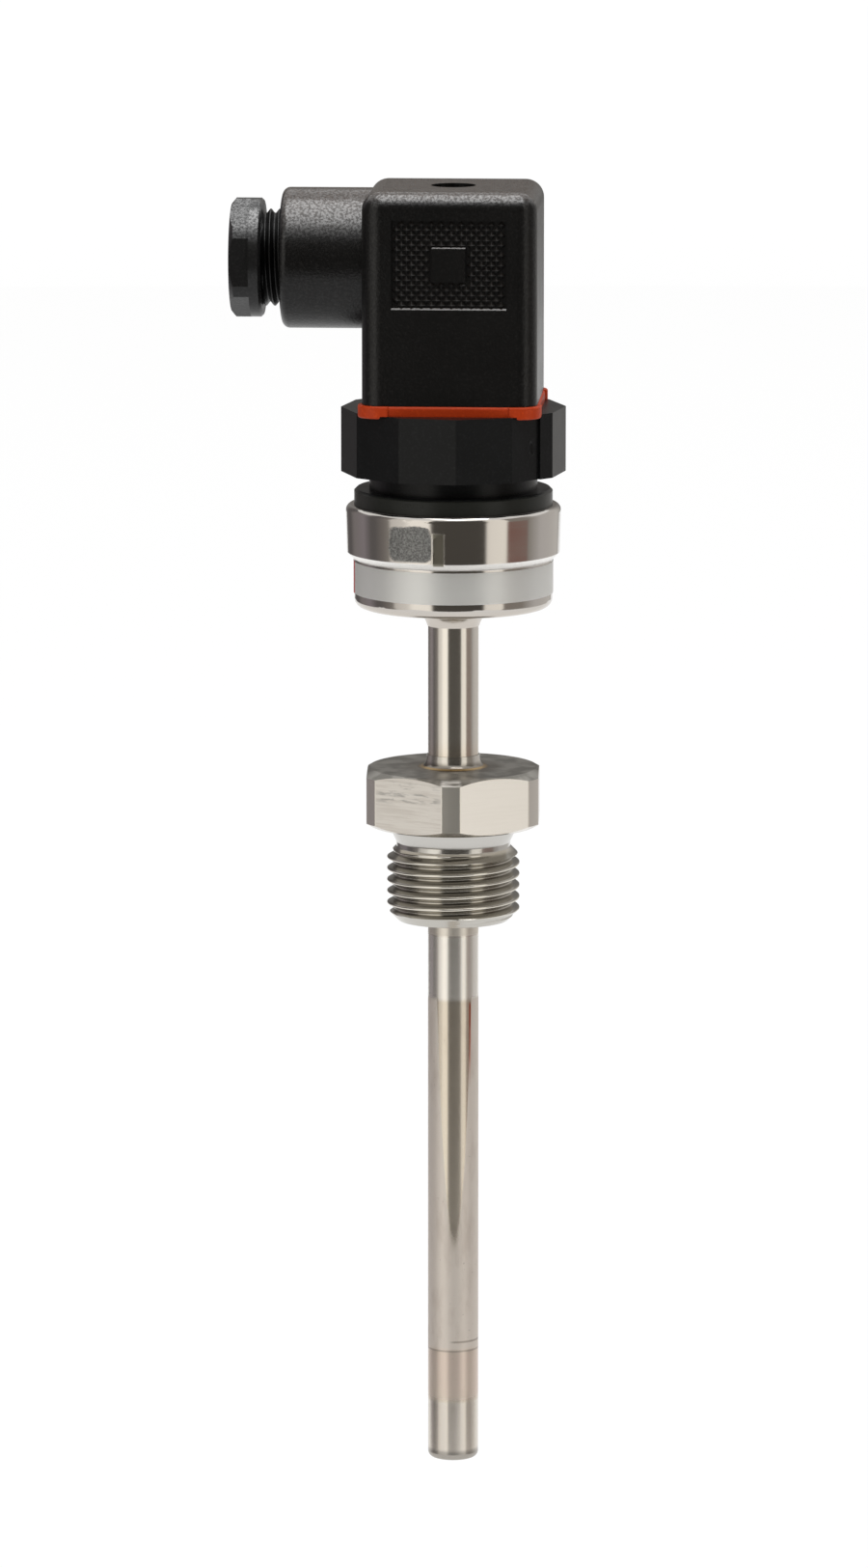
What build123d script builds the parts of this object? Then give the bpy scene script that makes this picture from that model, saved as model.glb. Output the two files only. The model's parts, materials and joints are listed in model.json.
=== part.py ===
# Screw-in resistance thermometer with a built-in transmitter and a square cable plug.
# Millimetres. The origin is on the tube's axis at the underside of the hexagon, the face that
# seals on the vessel. +Z runs up to the plug, the cable gland points to -X and the plug's
# gripped front faces -Y.
import os
from math import asin, cos, degrees, pi, radians, sin, sqrt, tan

from build123d import *

os.makedirs("parts", exist_ok=True)

# Clearances
press_gap = 0.02  # pieces pressed, soldered or welded together
running_gap = 0.05  # threads and turning fits
slip_gap = 0.2  # pieces dropped into each other

# Protection tube and measuring tip
tube_diameter = 8.0
tube_wall = 1.0
insertion_length = 102.5
tip_length = 8.7
tip_corner = 1.0
tip_floor = 1.5
tip_spigot_length = 4.0
tube_seat_diameter = 7.4
tube_seat_depth = 10.0
weld_groove = 0.5
element_diameter = 2.8
element_length = 10.0
lead_diameter = 0.9
lead_spacing = 1.2
sleeve_wall = 1.0

# Process fitting
hexagon_width = 27.0
hexagon_corners = 29.7
hexagon_height = 9.2
hexagon_turn = 1.8
hexagon_face_inset = 0.3
bevel_angle = 30.0
thread_diameter = 20.955
thread_end = 15.2
thread_chamfer = 1.7
relief_diameter = 18.0
relief_length = 3.4
relief_straight = 0.7
relief_cone = 1.3
weld_foot_radius = 5.25
weld_foot_height = 2.0
weld_lip = 0.15
neck_seat_depth = 8.2

# Steel cup
neck_length = 25.5
neck_tube_rise = 1.8
cup_diameter = 31.2
cup_wall = 0.6
cup_corner = 1.5
cup_side_height = 6.2
foot_fillet = 4.0
foot_lip = 0.12
ring_diameter = 33.8
ring_taper = 0.18
ring_shoulder = 1.1
ring_height = 6.5
ring_roll = 1.0
notch_width = 1.65
notch_height = 4.3
notch_depth = 0.3
notch_corner = 0.75
notch_angle = -4.9

# Foil label
label_thickness = 0.08
label_height = 5.0
label_drop = 0.35
label_start_angle = -96.0
label_sweep_angle = 248.0

# Connector base
skirt_drop = 4.6
seal_cord = 1.36
seal_groove_width = 1.9
seal_from_skirt_end = 2.2
flange_rise = 2.5
flange_chamfer = 0.4
neck_groove_radius = 13.2
neck_groove_height = 2.6
collar_corners = 35.25
collar_sides = 12
collar_turn = 4.4
collar_height = 10.2
strip_width = 3.5
strip_depth = 0.4
strip_from_corner = 2.85
strip_corner_step = 1
cavity_radius = 11.0
cavity_roof = 6.3
boss_radius = 4.2

# Screw insert and fixing screw
screw_diameter = 3.0
screw_length = 35.0
screw_grip = 5.0
screw_head_diameter = 5.6
screw_head_height = 2.4
screw_slot_width = 0.8
screw_slot_depth = 1.1
screw_tip_chamfer = 0.375
insert_diameter = 4.6
insert_length = 6.5
insert_sink = 2.9
screw_passage = 3.5
seal_ring_thickness = 0.9
seal_ring_diameter = 6.2

# Contact blades
blade_width = 6.3
blade_thickness = 0.8
blade_reach = 9.0
blade_root = 3.0
blade_chamfer = 0.7
leg_width = 1.5
contact_radius = 9.0
contact_angles = (90, 270, 180)
earth_angle = 0

# Transmitter board
board_thickness = 1.6
board_drop = 13.4
chip_size = 7.0
chip_height = 1.2
chip_offset = 5.6
chip_corner = 0.25
capacitor_length = 2.0
capacitor_width = 1.25
capacitor_height = 1.0
capacitor_radius = 5.2

# Plug housing
plug_width = 27.3
plug_height = 33.15
plug_wall = 1.9
plug_roof = 3.5
plug_edge = 3.0
plug_top_edge = 2.85
driver_hole_diameter = 7.0
tube_boss_radius = 5.3
tube_boss_floor = 1.9
grip_width = 17.9
grip_height = 13.9
grip_depth = 0.5
grip_square = 5.2
grip_drop = 11.2
spigot_diameter = 22.0
spigot_reach = 13.05
spigot_drop = 11.45
spigot_edge = 1.2
spigot_root = 3.0
gland_seat_wall = 0.9
wire_hole_diameter = 9.0

# Profile gasket
gasket_thickness = 1.55
gasket_overhang = 0.3
gasket_corner = 3.4
lip_overhang = 0.35
lip_drop = 0.4
lip_reach = 4.6
lip_edge = 0.3
gasket_edge = 0.45
gasket_hole_diameter = 6.0

# Contact carrier and sockets
carrier_height = 12.2
carrier_corner = 2.0
rib_height = 3.4
rib_thickness = 1.0
rib_tube_radius = 2.8
socket_thickness = 2.4
socket_width = 7.4
socket_floor = 0.7
socket_roof = 3.0
tab_thickness = 1.0
tab_width = 5.0
terminal_radius = 5.6
terminal_head_diameter = 4.6
terminal_head_height = 1.7
terminal_shank_diameter = 2.5
terminal_shank_length = 5.0
terminal_slot_width = 0.7
terminal_slot_depth = 0.7

# Cable gland
gland_thread_diameter = 15.2
gland_thread_length = 8.5
gland_thread_shown = 3.0
gland_hexagon_width = 17.0
gland_head_diameter = 18.6
gland_hexagon_length = 3.1
gland_collar_length = 1.85
gland_bevel = 0.7
gland_bevel_drop = 0.84
gland_bore_diameter = 8.5
gland_bore_mouth = 0.8
gland_washer_thickness = 0.9
gland_washer_bore = 9.0
gland_seal_length = 4.0
gland_seal_bore = 8.2
gland_seal_gap = 0.35

# Radii and heights that follow
tube_radius = tube_diameter / 2
tube_bore_radius = tube_radius - tube_wall
tip_end_z = -insertion_length
tip_weld_z = tip_end_z + tip_length
tip_spigot_z = tip_weld_z + tip_spigot_length
element_seat_z = tip_end_z + tip_floor
element_top_z = element_seat_z + element_length
tube_seat_radius = tube_seat_diameter / 2
tube_seat_low_z = -thread_end - weld_groove
tube_seat_top_z = tube_seat_depth - thread_end

hexagon_face_radius = hexagon_width / 2 - hexagon_face_inset
hexagon_bevel = (hexagon_corners / 2 - hexagon_face_radius) * tan(radians(bevel_angle))
fitting_bore_radius = tube_radius + press_gap
neck_seat_z = hexagon_height - neck_seat_depth

cup_bottom_z = hexagon_height + neck_length
cup_radius = cup_diameter / 2
cup_floor_z = cup_bottom_z + cup_wall
cup_side_top_z = cup_bottom_z + cup_corner + cup_side_height
ring_radius = ring_diameter / 2
ring_low_radius = ring_radius - ring_taper
ring_low_z = cup_side_top_z + ring_shoulder
ring_high_z = ring_low_z + ring_height
ring_top_z = ring_high_z + ring_roll
cup_bore_radius = cup_radius - cup_wall
ring_bore_radius = ring_low_radius - cup_wall

# The base's wide flange lies under the rolled lip, its visible disc stands in the lip's mouth
disc_radius = cup_radius - press_gap
wide_flange_radius = ring_bore_radius - running_gap
wide_flange_top_z = ring_top_z - cup_wall - running_gap
flange_top_z = ring_top_z + flange_rise
collar_low_z = flange_top_z + neck_groove_height
base_top_z = collar_low_z + collar_height
skirt_radius = cup_bore_radius - press_gap * 2
skirt_low_z = cup_side_top_z - skirt_drop
seal_z = skirt_low_z + seal_from_skirt_end
cavity_top_z = base_top_z - cavity_roof

insert_top_z = base_top_z - insert_sink
insert_low_z = insert_top_z - insert_length
screw_tip_z = insert_top_z - screw_grip
screw_seat_z = screw_tip_z + screw_length
ring_seat_z = screw_seat_z - seal_ring_thickness

board_top_z = cavity_top_z - board_drop
board_low_z = board_top_z - board_thickness

gasket_top_z = base_top_z + gasket_thickness
plug_low_z = gasket_top_z
plug_top_z = plug_low_z + plug_height
plug_half = plug_width / 2
plug_inner_half = plug_half - plug_wall
plug_ceiling_z = plug_top_z - plug_roof
boss_low_z = ring_seat_z - tube_boss_floor
gland_z = plug_top_z - spigot_drop
grip_z = plug_top_z - grip_drop

spigot_end_x = -plug_half - spigot_reach
gland_seat_x = -plug_inner_half - gland_seat_wall
gland_collar_x = spigot_end_x - gland_thread_shown
gland_hexagon_x = gland_collar_x - gland_collar_length
gland_end_x = gland_hexagon_x - gland_hexagon_length
gland_inner_x = gland_collar_x + gland_thread_length
gland_thread_radius = gland_thread_diameter / 2
spigot_bore_radius = gland_thread_radius + running_gap
gland_axis = Axis((0, 0, gland_z), (1, 0, 0))

# Protection tube, its upper end turned down to seat in the fitting
with BuildPart() as protection_tube:
    with BuildSketch(Plane.XY.offset(tip_weld_z)):
        Circle(tube_radius)
    extrude(amount=tube_seat_low_z - tip_weld_z)
    with BuildSketch(Plane.XY.offset(tube_seat_low_z)):
        Circle(tube_seat_radius)
    extrude(amount=tube_seat_top_z - tube_seat_low_z)
    with BuildSketch(Plane.XY.offset(tip_weld_z)):
        Circle(tube_bore_radius)
    extrude(amount=tube_seat_top_z - tip_weld_z, mode=Mode.SUBTRACT)
protection_tube.part.label = "protection_tube"
export_step(protection_tube.part, "parts/protection_tube.step")

# Neck tube between the fitting and the cup
with BuildPart() as neck_tube:
    with BuildSketch(Plane.XY.offset(neck_seat_z)):
        Circle(tube_radius)
        Circle(tube_bore_radius, mode=Mode.SUBTRACT)
    extrude(amount=cup_floor_z + neck_tube_rise - neck_seat_z)
neck_tube.part.label = "neck_tube"
export_step(neck_tube.part, "parts/neck_tube.step")

# Turned tip: a spigot in the tube, a bore for the element and a rounded end
with BuildPart() as tip_plug:
    with BuildSketch(Plane.XZ):
        with BuildLine():
            Polyline(
                (0, tip_end_z),
                (tube_radius, tip_end_z),
                (tube_radius, tip_weld_z),
                (tube_bore_radius - press_gap, tip_weld_z),
                (tube_bore_radius - press_gap, tip_spigot_z),
                (element_diameter / 2 + running_gap, tip_spigot_z),
                (element_diameter / 2 + running_gap, element_seat_z),
                (0, element_seat_z),
                close=True,
            )
        make_face()
    revolve(axis=Axis.Z)
    fillet(tip_plug.edges().filter_by(GeomType.CIRCLE).sort_by(Axis.Z)[0], tip_corner)
tip_plug.part.label = "tip_plug"
export_step(tip_plug.part, "parts/tip_plug.step")

# Ceramic platinum element, standing on the bore's floor
with BuildPart() as sensing_element:
    with BuildSketch(Plane.XY.offset(element_seat_z)):
        Circle(element_diameter / 2)
    extrude(amount=element_length)
sensing_element.part.label = "sensing_element"
export_step(sensing_element.part, "parts/sensing_element.step")

# Four insulated wires from the element to the board
with BuildPart() as sensor_leads:
    with BuildSketch(Plane.XY.offset(element_top_z)):
        with GridLocations(lead_spacing, lead_spacing, 2, 2):
            Circle(lead_diameter / 2)
    extrude(amount=board_low_z - element_top_z)
sensor_leads.part.label = "sensor_leads"
export_step(sensor_leads.part, "parts/sensor_leads.step")

# Insulating sleeve round the wires, standing on the tip's spigot
with BuildPart() as insulating_sleeve:
    with BuildSketch(Plane.XY.offset(tip_spigot_z)):
        Circle(tube_bore_radius - running_gap)
        Circle(tube_bore_radius - running_gap - sleeve_wall, mode=Mode.SUBTRACT)
    extrude(amount=cup_floor_z + neck_tube_rise + running_gap - tip_spigot_z)
insulating_sleeve.part.label = "insulating_sleeve"
export_step(insulating_sleeve.part, "parts/insulating_sleeve.step")

# Process fitting: turned hexagon, relief, thread shank and the foot that is welded to the neck
with BuildPart() as process_fitting:
    with BuildSketch():
        RegularPolygon(
            hexagon_width / 2, 6, major_radius=False, rotation=30 + hexagon_turn
        )
    extrude(amount=hexagon_height)
    with BuildSketch(Plane.XZ):
        with BuildLine():
            Polyline(
                (0, 0),
                (hexagon_face_radius, 0),
                (hexagon_corners / 2, hexagon_bevel),
                (hexagon_corners / 2, hexagon_height - hexagon_bevel),
                (hexagon_face_radius, hexagon_height),
                (0, hexagon_height),
                close=True,
            )
        make_face()
    revolve(axis=Axis.Z, mode=Mode.INTERSECT)
    relief_radius = relief_diameter / 2
    thread_radius = thread_diameter / 2
    with BuildSketch(Plane.XZ):
        with BuildLine():
            Polyline(
                (0, hexagon_height / 2),
                (relief_radius + relief_cone, hexagon_height / 2),
                (relief_radius + relief_cone, 0),
                (relief_radius, relief_straight - relief_length),
                (relief_radius, -relief_length),
                (thread_radius, relief_radius - thread_radius - relief_length),
                (thread_radius, thread_chamfer - thread_end),
                (thread_radius - thread_chamfer, -thread_end),
                (0, -thread_end),
                close=True,
            )
        make_face()
    revolve(axis=Axis.Z)
    foot_end_radius = tube_radius + weld_lip
    with BuildSketch(Plane.XZ):
        with BuildLine():
            foot = EllipticalCenterArc(
                (weld_foot_radius, hexagon_height + weld_foot_height),
                weld_foot_radius - foot_end_radius,
                weld_foot_height,
                start_angle=180,
                arc_size=90,
            )
            Polyline(foot @ 0, (0, hexagon_height + weld_foot_height), (0, hexagon_height))
            Line((0, hexagon_height), foot @ 1)
        make_face()
    revolve(axis=Axis.Z)
    # A seat for each tube and a passage for the wires between them
    with BuildSketch(Plane.XY.offset(-thread_end)):
        Circle(tube_seat_radius + press_gap)
    extrude(amount=tube_seat_depth, mode=Mode.SUBTRACT)
    with BuildSketch(Plane.XY.offset(tube_seat_top_z)):
        Circle(tube_bore_radius)
    extrude(amount=neck_seat_z - tube_seat_top_z, mode=Mode.SUBTRACT)
    with BuildSketch(Plane.XY.offset(neck_seat_z)):
        Circle(fitting_bore_radius)
    extrude(amount=neck_seat_depth + weld_foot_height, mode=Mode.SUBTRACT)
process_fitting.part.label = "process_fitting"
export_step(process_fitting.part, "parts/process_fitting.step")

# Steel cup: flared foot, rounded bottom, label band, crimped ring and rolled lip
foot_centre_radius = tube_radius + foot_fillet
foot_lip_angle = 180 - degrees(asin(sqrt(1 - (1 - foot_lip / foot_fillet) ** 2)))
with BuildPart() as head_housing:
    with BuildSketch(Plane.XZ):
        with BuildLine():
            flare = CenterArc(
                (foot_centre_radius, cup_bottom_z - foot_fillet),
                foot_fillet,
                start_angle=foot_lip_angle,
                arc_size=90 - foot_lip_angle,
            )
            bottom = Line(flare @ 1, (cup_radius - cup_corner, cup_bottom_z))
            corner = CenterArc(
                (cup_radius - cup_corner, cup_bottom_z + cup_corner),
                cup_corner,
                start_angle=270,
                arc_size=90,
            )
            Polyline(
                corner @ 1,
                (cup_radius, cup_side_top_z),
                (ring_low_radius, ring_low_z),
                (ring_radius, ring_high_z),
            )
            roll = ThreePointArc(
                (ring_radius, ring_high_z),
                (
                    ring_radius - ring_roll * (1 - sqrt(0.5)),
                    ring_high_z + ring_roll * sqrt(0.5),
                ),
                (ring_radius - ring_roll, ring_top_z),
            )
            Polyline(
                roll @ 1,
                (cup_radius, ring_top_z),
                (cup_radius, ring_top_z - cup_wall),
                (ring_bore_radius, ring_top_z - cup_wall),
                (ring_bore_radius, ring_low_z + cup_wall / 2),
                (cup_bore_radius, cup_side_top_z + cup_wall / 2),
                (cup_bore_radius, cup_floor_z),
                (fitting_bore_radius, cup_floor_z),
                (fitting_bore_radius, (flare @ 0).Y),
                flare @ 0,
            )
        make_face()
    revolve(axis=Axis.Z)
    notch_plane = Plane(
        origin=(0, 0, ring_low_z - ring_shoulder),
        x_dir=(cos(radians(notch_angle)), sin(radians(notch_angle)), 0),
        z_dir=(sin(radians(notch_angle)), -cos(radians(notch_angle)), 0),
    )
    with BuildSketch(notch_plane.offset(ring_low_radius - notch_depth)):
        with Locations((0, (notch_height + ring_shoulder) / 2)):
            RectangleRounded(notch_width, notch_height + ring_shoulder, notch_corner)
    extrude(amount=notch_depth * 4, mode=Mode.SUBTRACT)
head_housing.part.label = "head_housing"
export_step(head_housing.part, "parts/head_housing.step")

# Foil label, bonded round the cup's straight side
label_top_z = cup_side_top_z - label_drop
label_low_z = label_top_z - label_height
label_inner_radius = cup_radius + press_gap / 2
label_first_angle = label_start_angle - 90
with BuildPart() as name_label:
    with BuildSketch(Plane.XY.offset(label_low_z)):
        with BuildLine():
            inner = CenterArc((0, 0), label_inner_radius, label_first_angle, label_sweep_angle)
            outer = CenterArc(
                (0, 0),
                label_inner_radius + label_thickness,
                label_first_angle,
                label_sweep_angle,
            )
            Line(inner @ 0, outer @ 0)
            Line(inner @ 1, outer @ 1)
        make_face()
    extrude(amount=label_height)
name_label.part.label = "name_label"
export_step(name_label.part, "parts/name_label.step")

# O-ring in the base's groove, against the cup's wall
seal_ring_radius = cup_bore_radius - press_gap - seal_cord / 2
with BuildPart() as head_seal:
    with BuildSketch(Plane.XZ):
        with Locations((seal_ring_radius, seal_z)):
            Circle(seal_cord / 2)
    revolve(axis=Axis.Z)
head_seal.part.label = "head_seal"
export_step(head_seal.part, "parts/head_seal.step")

# Connector base: turned outline, twelve-sided collar, board cavity, insert boss and blade slots
seal_groove_radius = seal_ring_radius - seal_cord / 2 - press_gap
shoulder_low_z = cup_side_top_z + cup_wall / 2 + running_gap * 2
contact_plane_angles = (*contact_angles, earth_angle)
with BuildPart() as connector_base:
    with BuildSketch(Plane.XZ):
        with BuildLine():
            Polyline(
                (0, skirt_low_z),
                (skirt_radius, skirt_low_z),
                (skirt_radius, seal_z - seal_groove_width / 2),
                (seal_groove_radius, seal_z - seal_groove_width / 2),
                (seal_groove_radius, seal_z + seal_groove_width / 2),
                (skirt_radius, seal_z + seal_groove_width / 2),
                (skirt_radius, shoulder_low_z),
                (wide_flange_radius, shoulder_low_z + ring_shoulder),
                (wide_flange_radius, wide_flange_top_z),
                (disc_radius, wide_flange_top_z),
                (disc_radius, flange_top_z - flange_chamfer),
                (disc_radius - flange_chamfer, flange_top_z),
                (neck_groove_radius, flange_top_z),
                (neck_groove_radius, collar_low_z),
                (0, collar_low_z),
                close=True,
            )
        make_face()
    revolve(axis=Axis.Z)
    with BuildSketch(Plane.XY.offset(collar_low_z)):
        RegularPolygon(collar_corners / 2, collar_sides, rotation=collar_turn)
    extrude(amount=collar_height)
    # Moulded strip sunk into one facet, over the collar's whole height
    side_angle = 360 / collar_sides
    facet_angle = radians(
        -90 + collar_turn + side_angle * (strip_corner_step + 0.5)
    )
    facet_distance = collar_corners / 2 * cos(pi / collar_sides)
    facet_width = collar_corners * sin(pi / collar_sides)
    facet_plane = Plane(
        origin=(0, 0, collar_low_z),
        x_dir=(-sin(facet_angle), cos(facet_angle), 0),
        z_dir=(cos(facet_angle), sin(facet_angle), 0),
    )
    with BuildSketch(facet_plane.offset(facet_distance - strip_depth)):
        strip_middle = strip_from_corner + strip_width / 2 - facet_width / 2
        with Locations((strip_middle, collar_height / 2)):
            Rectangle(strip_width, collar_height)
    extrude(amount=strip_depth * 2, mode=Mode.SUBTRACT)
    with BuildSketch(Plane.XY.offset(skirt_low_z)):
        Circle(cavity_radius)
    extrude(amount=cavity_top_z - skirt_low_z, mode=Mode.SUBTRACT)
    with BuildSketch(Plane.XY.offset(insert_low_z)):
        Circle(boss_radius)
    extrude(amount=base_top_z - insert_low_z)
    with BuildSketch(Plane.XY.offset(insert_low_z)):
        Circle(insert_diameter / 2 + press_gap)
    extrude(amount=insert_length, mode=Mode.SUBTRACT)
    with BuildSketch(Plane.XY.offset(insert_top_z)):
        Circle(screw_passage / 2)
    extrude(amount=insert_sink, mode=Mode.SUBTRACT)
    for angle in contact_plane_angles:
        blade_plane = Plane(
            origin=(0, 0, base_top_z),
            x_dir=(cos(radians(angle)), sin(radians(angle)), 0),
            z_dir=(0, 0, 1),
        )
        with BuildSketch(blade_plane.offset(-blade_root)):
            with Locations((contact_radius, 0)):
                Rectangle(blade_thickness + press_gap * 2, blade_width + press_gap * 2)
        extrude(amount=blade_root, mode=Mode.SUBTRACT)
        with BuildSketch(blade_plane.offset(-cavity_roof)):
            with Locations((contact_radius, 0)):
                Rectangle(blade_thickness + press_gap * 2, leg_width + press_gap * 2)
        extrude(amount=cavity_roof, mode=Mode.SUBTRACT)
connector_base.part.label = "connector_base"
export_step(connector_base.part, "parts/connector_base.step")

# Brass insert under its shoulder in the boss
with BuildPart() as screw_insert:
    with BuildSketch(Plane.XY.offset(insert_low_z)):
        Circle(insert_diameter / 2)
        Circle(screw_diameter / 2 + running_gap, mode=Mode.SUBTRACT)
    extrude(amount=insert_length)
screw_insert.part.label = "screw_insert"
export_step(screw_insert.part, "parts/screw_insert.step")

# Flat contact blades: a shouldered root in the base and a narrow leg down to the board
blade_names = ("contact_pin_1", "contact_pin_2", "contact_pin_3", "earth_pin")
for name, angle in zip(blade_names, contact_plane_angles):
    blade_face = Plane(
        origin=(0, 0, base_top_z),
        x_dir=(-sin(radians(angle)), cos(radians(angle)), 0),
        z_dir=(cos(radians(angle)), sin(radians(angle)), 0),
    )
    with BuildPart() as blade:
        with BuildSketch(blade_face.offset(contact_radius - blade_thickness / 2)):
            with Locations((0, (blade_reach - blade_root) / 2)):
                Rectangle(blade_width, blade_reach + blade_root)
            with Locations((0, (board_top_z - base_top_z - blade_root) / 2)):
                Rectangle(leg_width, base_top_z - board_top_z - blade_root)
        extrude(amount=blade_thickness)
        chamfer(
            blade.edges().filter_by(Axis((0, 0, 0), blade_face.z_dir)).sort_by(Axis.Z)[-2:],
            blade_chamfer,
        )
    blade.part.label = name
    export_step(blade.part, f"parts/{name}.step")

# Round board on the blades' legs
with BuildPart() as transmitter_board:
    with BuildSketch(Plane.XY.offset(board_low_z)):
        Circle(cavity_radius - slip_gap)
    extrude(amount=board_thickness)
transmitter_board.part.label = "transmitter_board"
export_step(transmitter_board.part, "parts/transmitter_board.step")

# Measuring chip on the board's underside
with BuildPart() as converter_chip:
    with BuildSketch(Plane.XY.offset(board_low_z - chip_height)):
        with Locations((chip_offset, 0)):
            RectangleRounded(chip_size, chip_size, chip_corner)
    extrude(amount=chip_height)
converter_chip.part.label = "converter_chip"
export_step(converter_chip.part, "parts/converter_chip.step")

# Four chip capacitors between the legs
with BuildPart() as board_capacitors:
    with BuildSketch(Plane.XY.offset(board_top_z)):
        with PolarLocations(capacitor_radius, 4, start_angle=45):
            Rectangle(capacitor_width, capacitor_length)
    extrude(amount=capacitor_height)
board_capacitors.part.label = "board_capacitors"
export_step(board_capacitors.part, "parts/board_capacitors.step")

# Profile gasket: a flat plate whose corners overhang the collar and turn down as lips
gasket_half = plug_half + gasket_overhang
lip_half = gasket_half + lip_overhang
lip_inner_radius = collar_corners / 2 + slip_gap
with BuildPart() as corner_lips:
    with BuildSketch(Plane.XY.offset(base_top_z - lip_drop)):
        RectangleRounded(lip_half * 2, lip_half * 2, gasket_corner)
        Rectangle((gasket_half - lip_reach) * 2, lip_half * 2, mode=Mode.SUBTRACT)
        Rectangle(lip_half * 2, (gasket_half - lip_reach) * 2, mode=Mode.SUBTRACT)
    extrude(amount=gasket_thickness + lip_drop)
    outer_edges = corner_lips.edges().filter_by(
        lambda edge: max(abs(edge.center().X), abs(edge.center().Y)) > gasket_half - lip_edge
    )
    fillet(outer_edges, lip_edge)
with BuildPart() as profile_gasket:
    with BuildSketch(Plane.XY.offset(base_top_z)):
        RectangleRounded(gasket_half * 2, gasket_half * 2, gasket_corner)
    extrude(amount=gasket_thickness)
    fillet(profile_gasket.faces().sort_by(Axis.Z)[-1].edges(), gasket_edge)
    add(corner_lips.part)
    with BuildSketch(Plane.XY.offset(base_top_z - lip_drop)):
        Circle(lip_inner_radius)
    extrude(amount=lip_drop, mode=Mode.SUBTRACT)
    with BuildSketch(Plane.XY.offset(base_top_z)):
        Circle(gasket_hole_diameter / 2)
        for angle in contact_plane_angles:
            with PolarLocations(contact_radius, 1, start_angle=angle):
                Rectangle(blade_thickness + slip_gap * 3, blade_width + slip_gap * 3)
    extrude(amount=gasket_thickness, mode=Mode.SUBTRACT)
profile_gasket.part.label = "profile_gasket"
export_step(profile_gasket.part, "parts/profile_gasket.step")

# Plug housing: a rounded square box open below, with the gland spigot on its left
with BuildPart() as plug_housing:
    with BuildSketch(Plane.XY.offset(plug_low_z)):
        RectangleRounded(plug_width, plug_width, plug_edge)
    extrude(amount=plug_height)
    fillet(plug_housing.faces().sort_by(Axis.Z)[-1].edges(), plug_top_edge)
    with BuildSketch(Plane.XZ):
        with BuildLine():
            spigot_radius = spigot_diameter / 2
            Polyline(
                (spigot_root - plug_half, gland_z),
                (spigot_end_x, gland_z),
                (spigot_end_x, gland_z + spigot_radius),
                (spigot_root - plug_half, gland_z + spigot_radius),
                close=True,
            )
        make_face()
    revolve(axis=gland_axis)
    fillet(
        plug_housing.edges().filter_by(GeomType.CIRCLE).sort_by(Axis.X)[0], spigot_edge
    )
    # Chamber for the contact carrier and the wires
    with BuildSketch(Plane.XY.offset(plug_low_z)):
        RectangleRounded(plug_inner_half * 2, plug_inner_half * 2, plug_edge - plug_wall / 2)
    extrude(amount=plug_ceiling_z - plug_low_z, mode=Mode.SUBTRACT)
    # Tube down from the roof that seats the fixing screw
    with BuildSketch(Plane.XY.offset(boss_low_z)):
        Circle(tube_boss_radius)
    extrude(amount=plug_ceiling_z - boss_low_z)
    with BuildSketch(Plane.XY.offset(ring_seat_z)):
        Circle(driver_hole_diameter / 2)
    extrude(amount=plug_top_z - ring_seat_z, mode=Mode.SUBTRACT)
    with BuildSketch(Plane.XY.offset(boss_low_z)):
        Circle(screw_passage / 2)
    extrude(amount=ring_seat_z - boss_low_z, mode=Mode.SUBTRACT)
    # Gland bore and wire hole
    with BuildSketch(Plane.YZ.offset(spigot_end_x)):
        with Locations((0, gland_z)):
            Circle(spigot_bore_radius)
    extrude(amount=gland_seat_x - spigot_end_x, mode=Mode.SUBTRACT)
    with BuildSketch(Plane.YZ.offset(gland_seat_x)):
        with Locations((0, gland_z)):
            Circle(wire_hole_diameter / 2)
    extrude(amount=-gland_seat_x - plug_inner_half + gland_seat_wall, mode=Mode.SUBTRACT)
    # Sunk grip panels with a plain square left standing, front and back
    for face_plane in (Plane.XZ, Plane.XZ.rotated((0, 0, 180))):
        with BuildSketch(face_plane.offset(plug_half - grip_depth)):
            with Locations((0, grip_z)):
                Rectangle(grip_width, grip_height)
                Rectangle(grip_square, grip_square, mode=Mode.SUBTRACT)
        extrude(amount=grip_depth, mode=Mode.SUBTRACT)
plug_housing.part.label = "plug_housing"
export_step(plug_housing.part, "parts/plug_housing.step")

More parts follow.
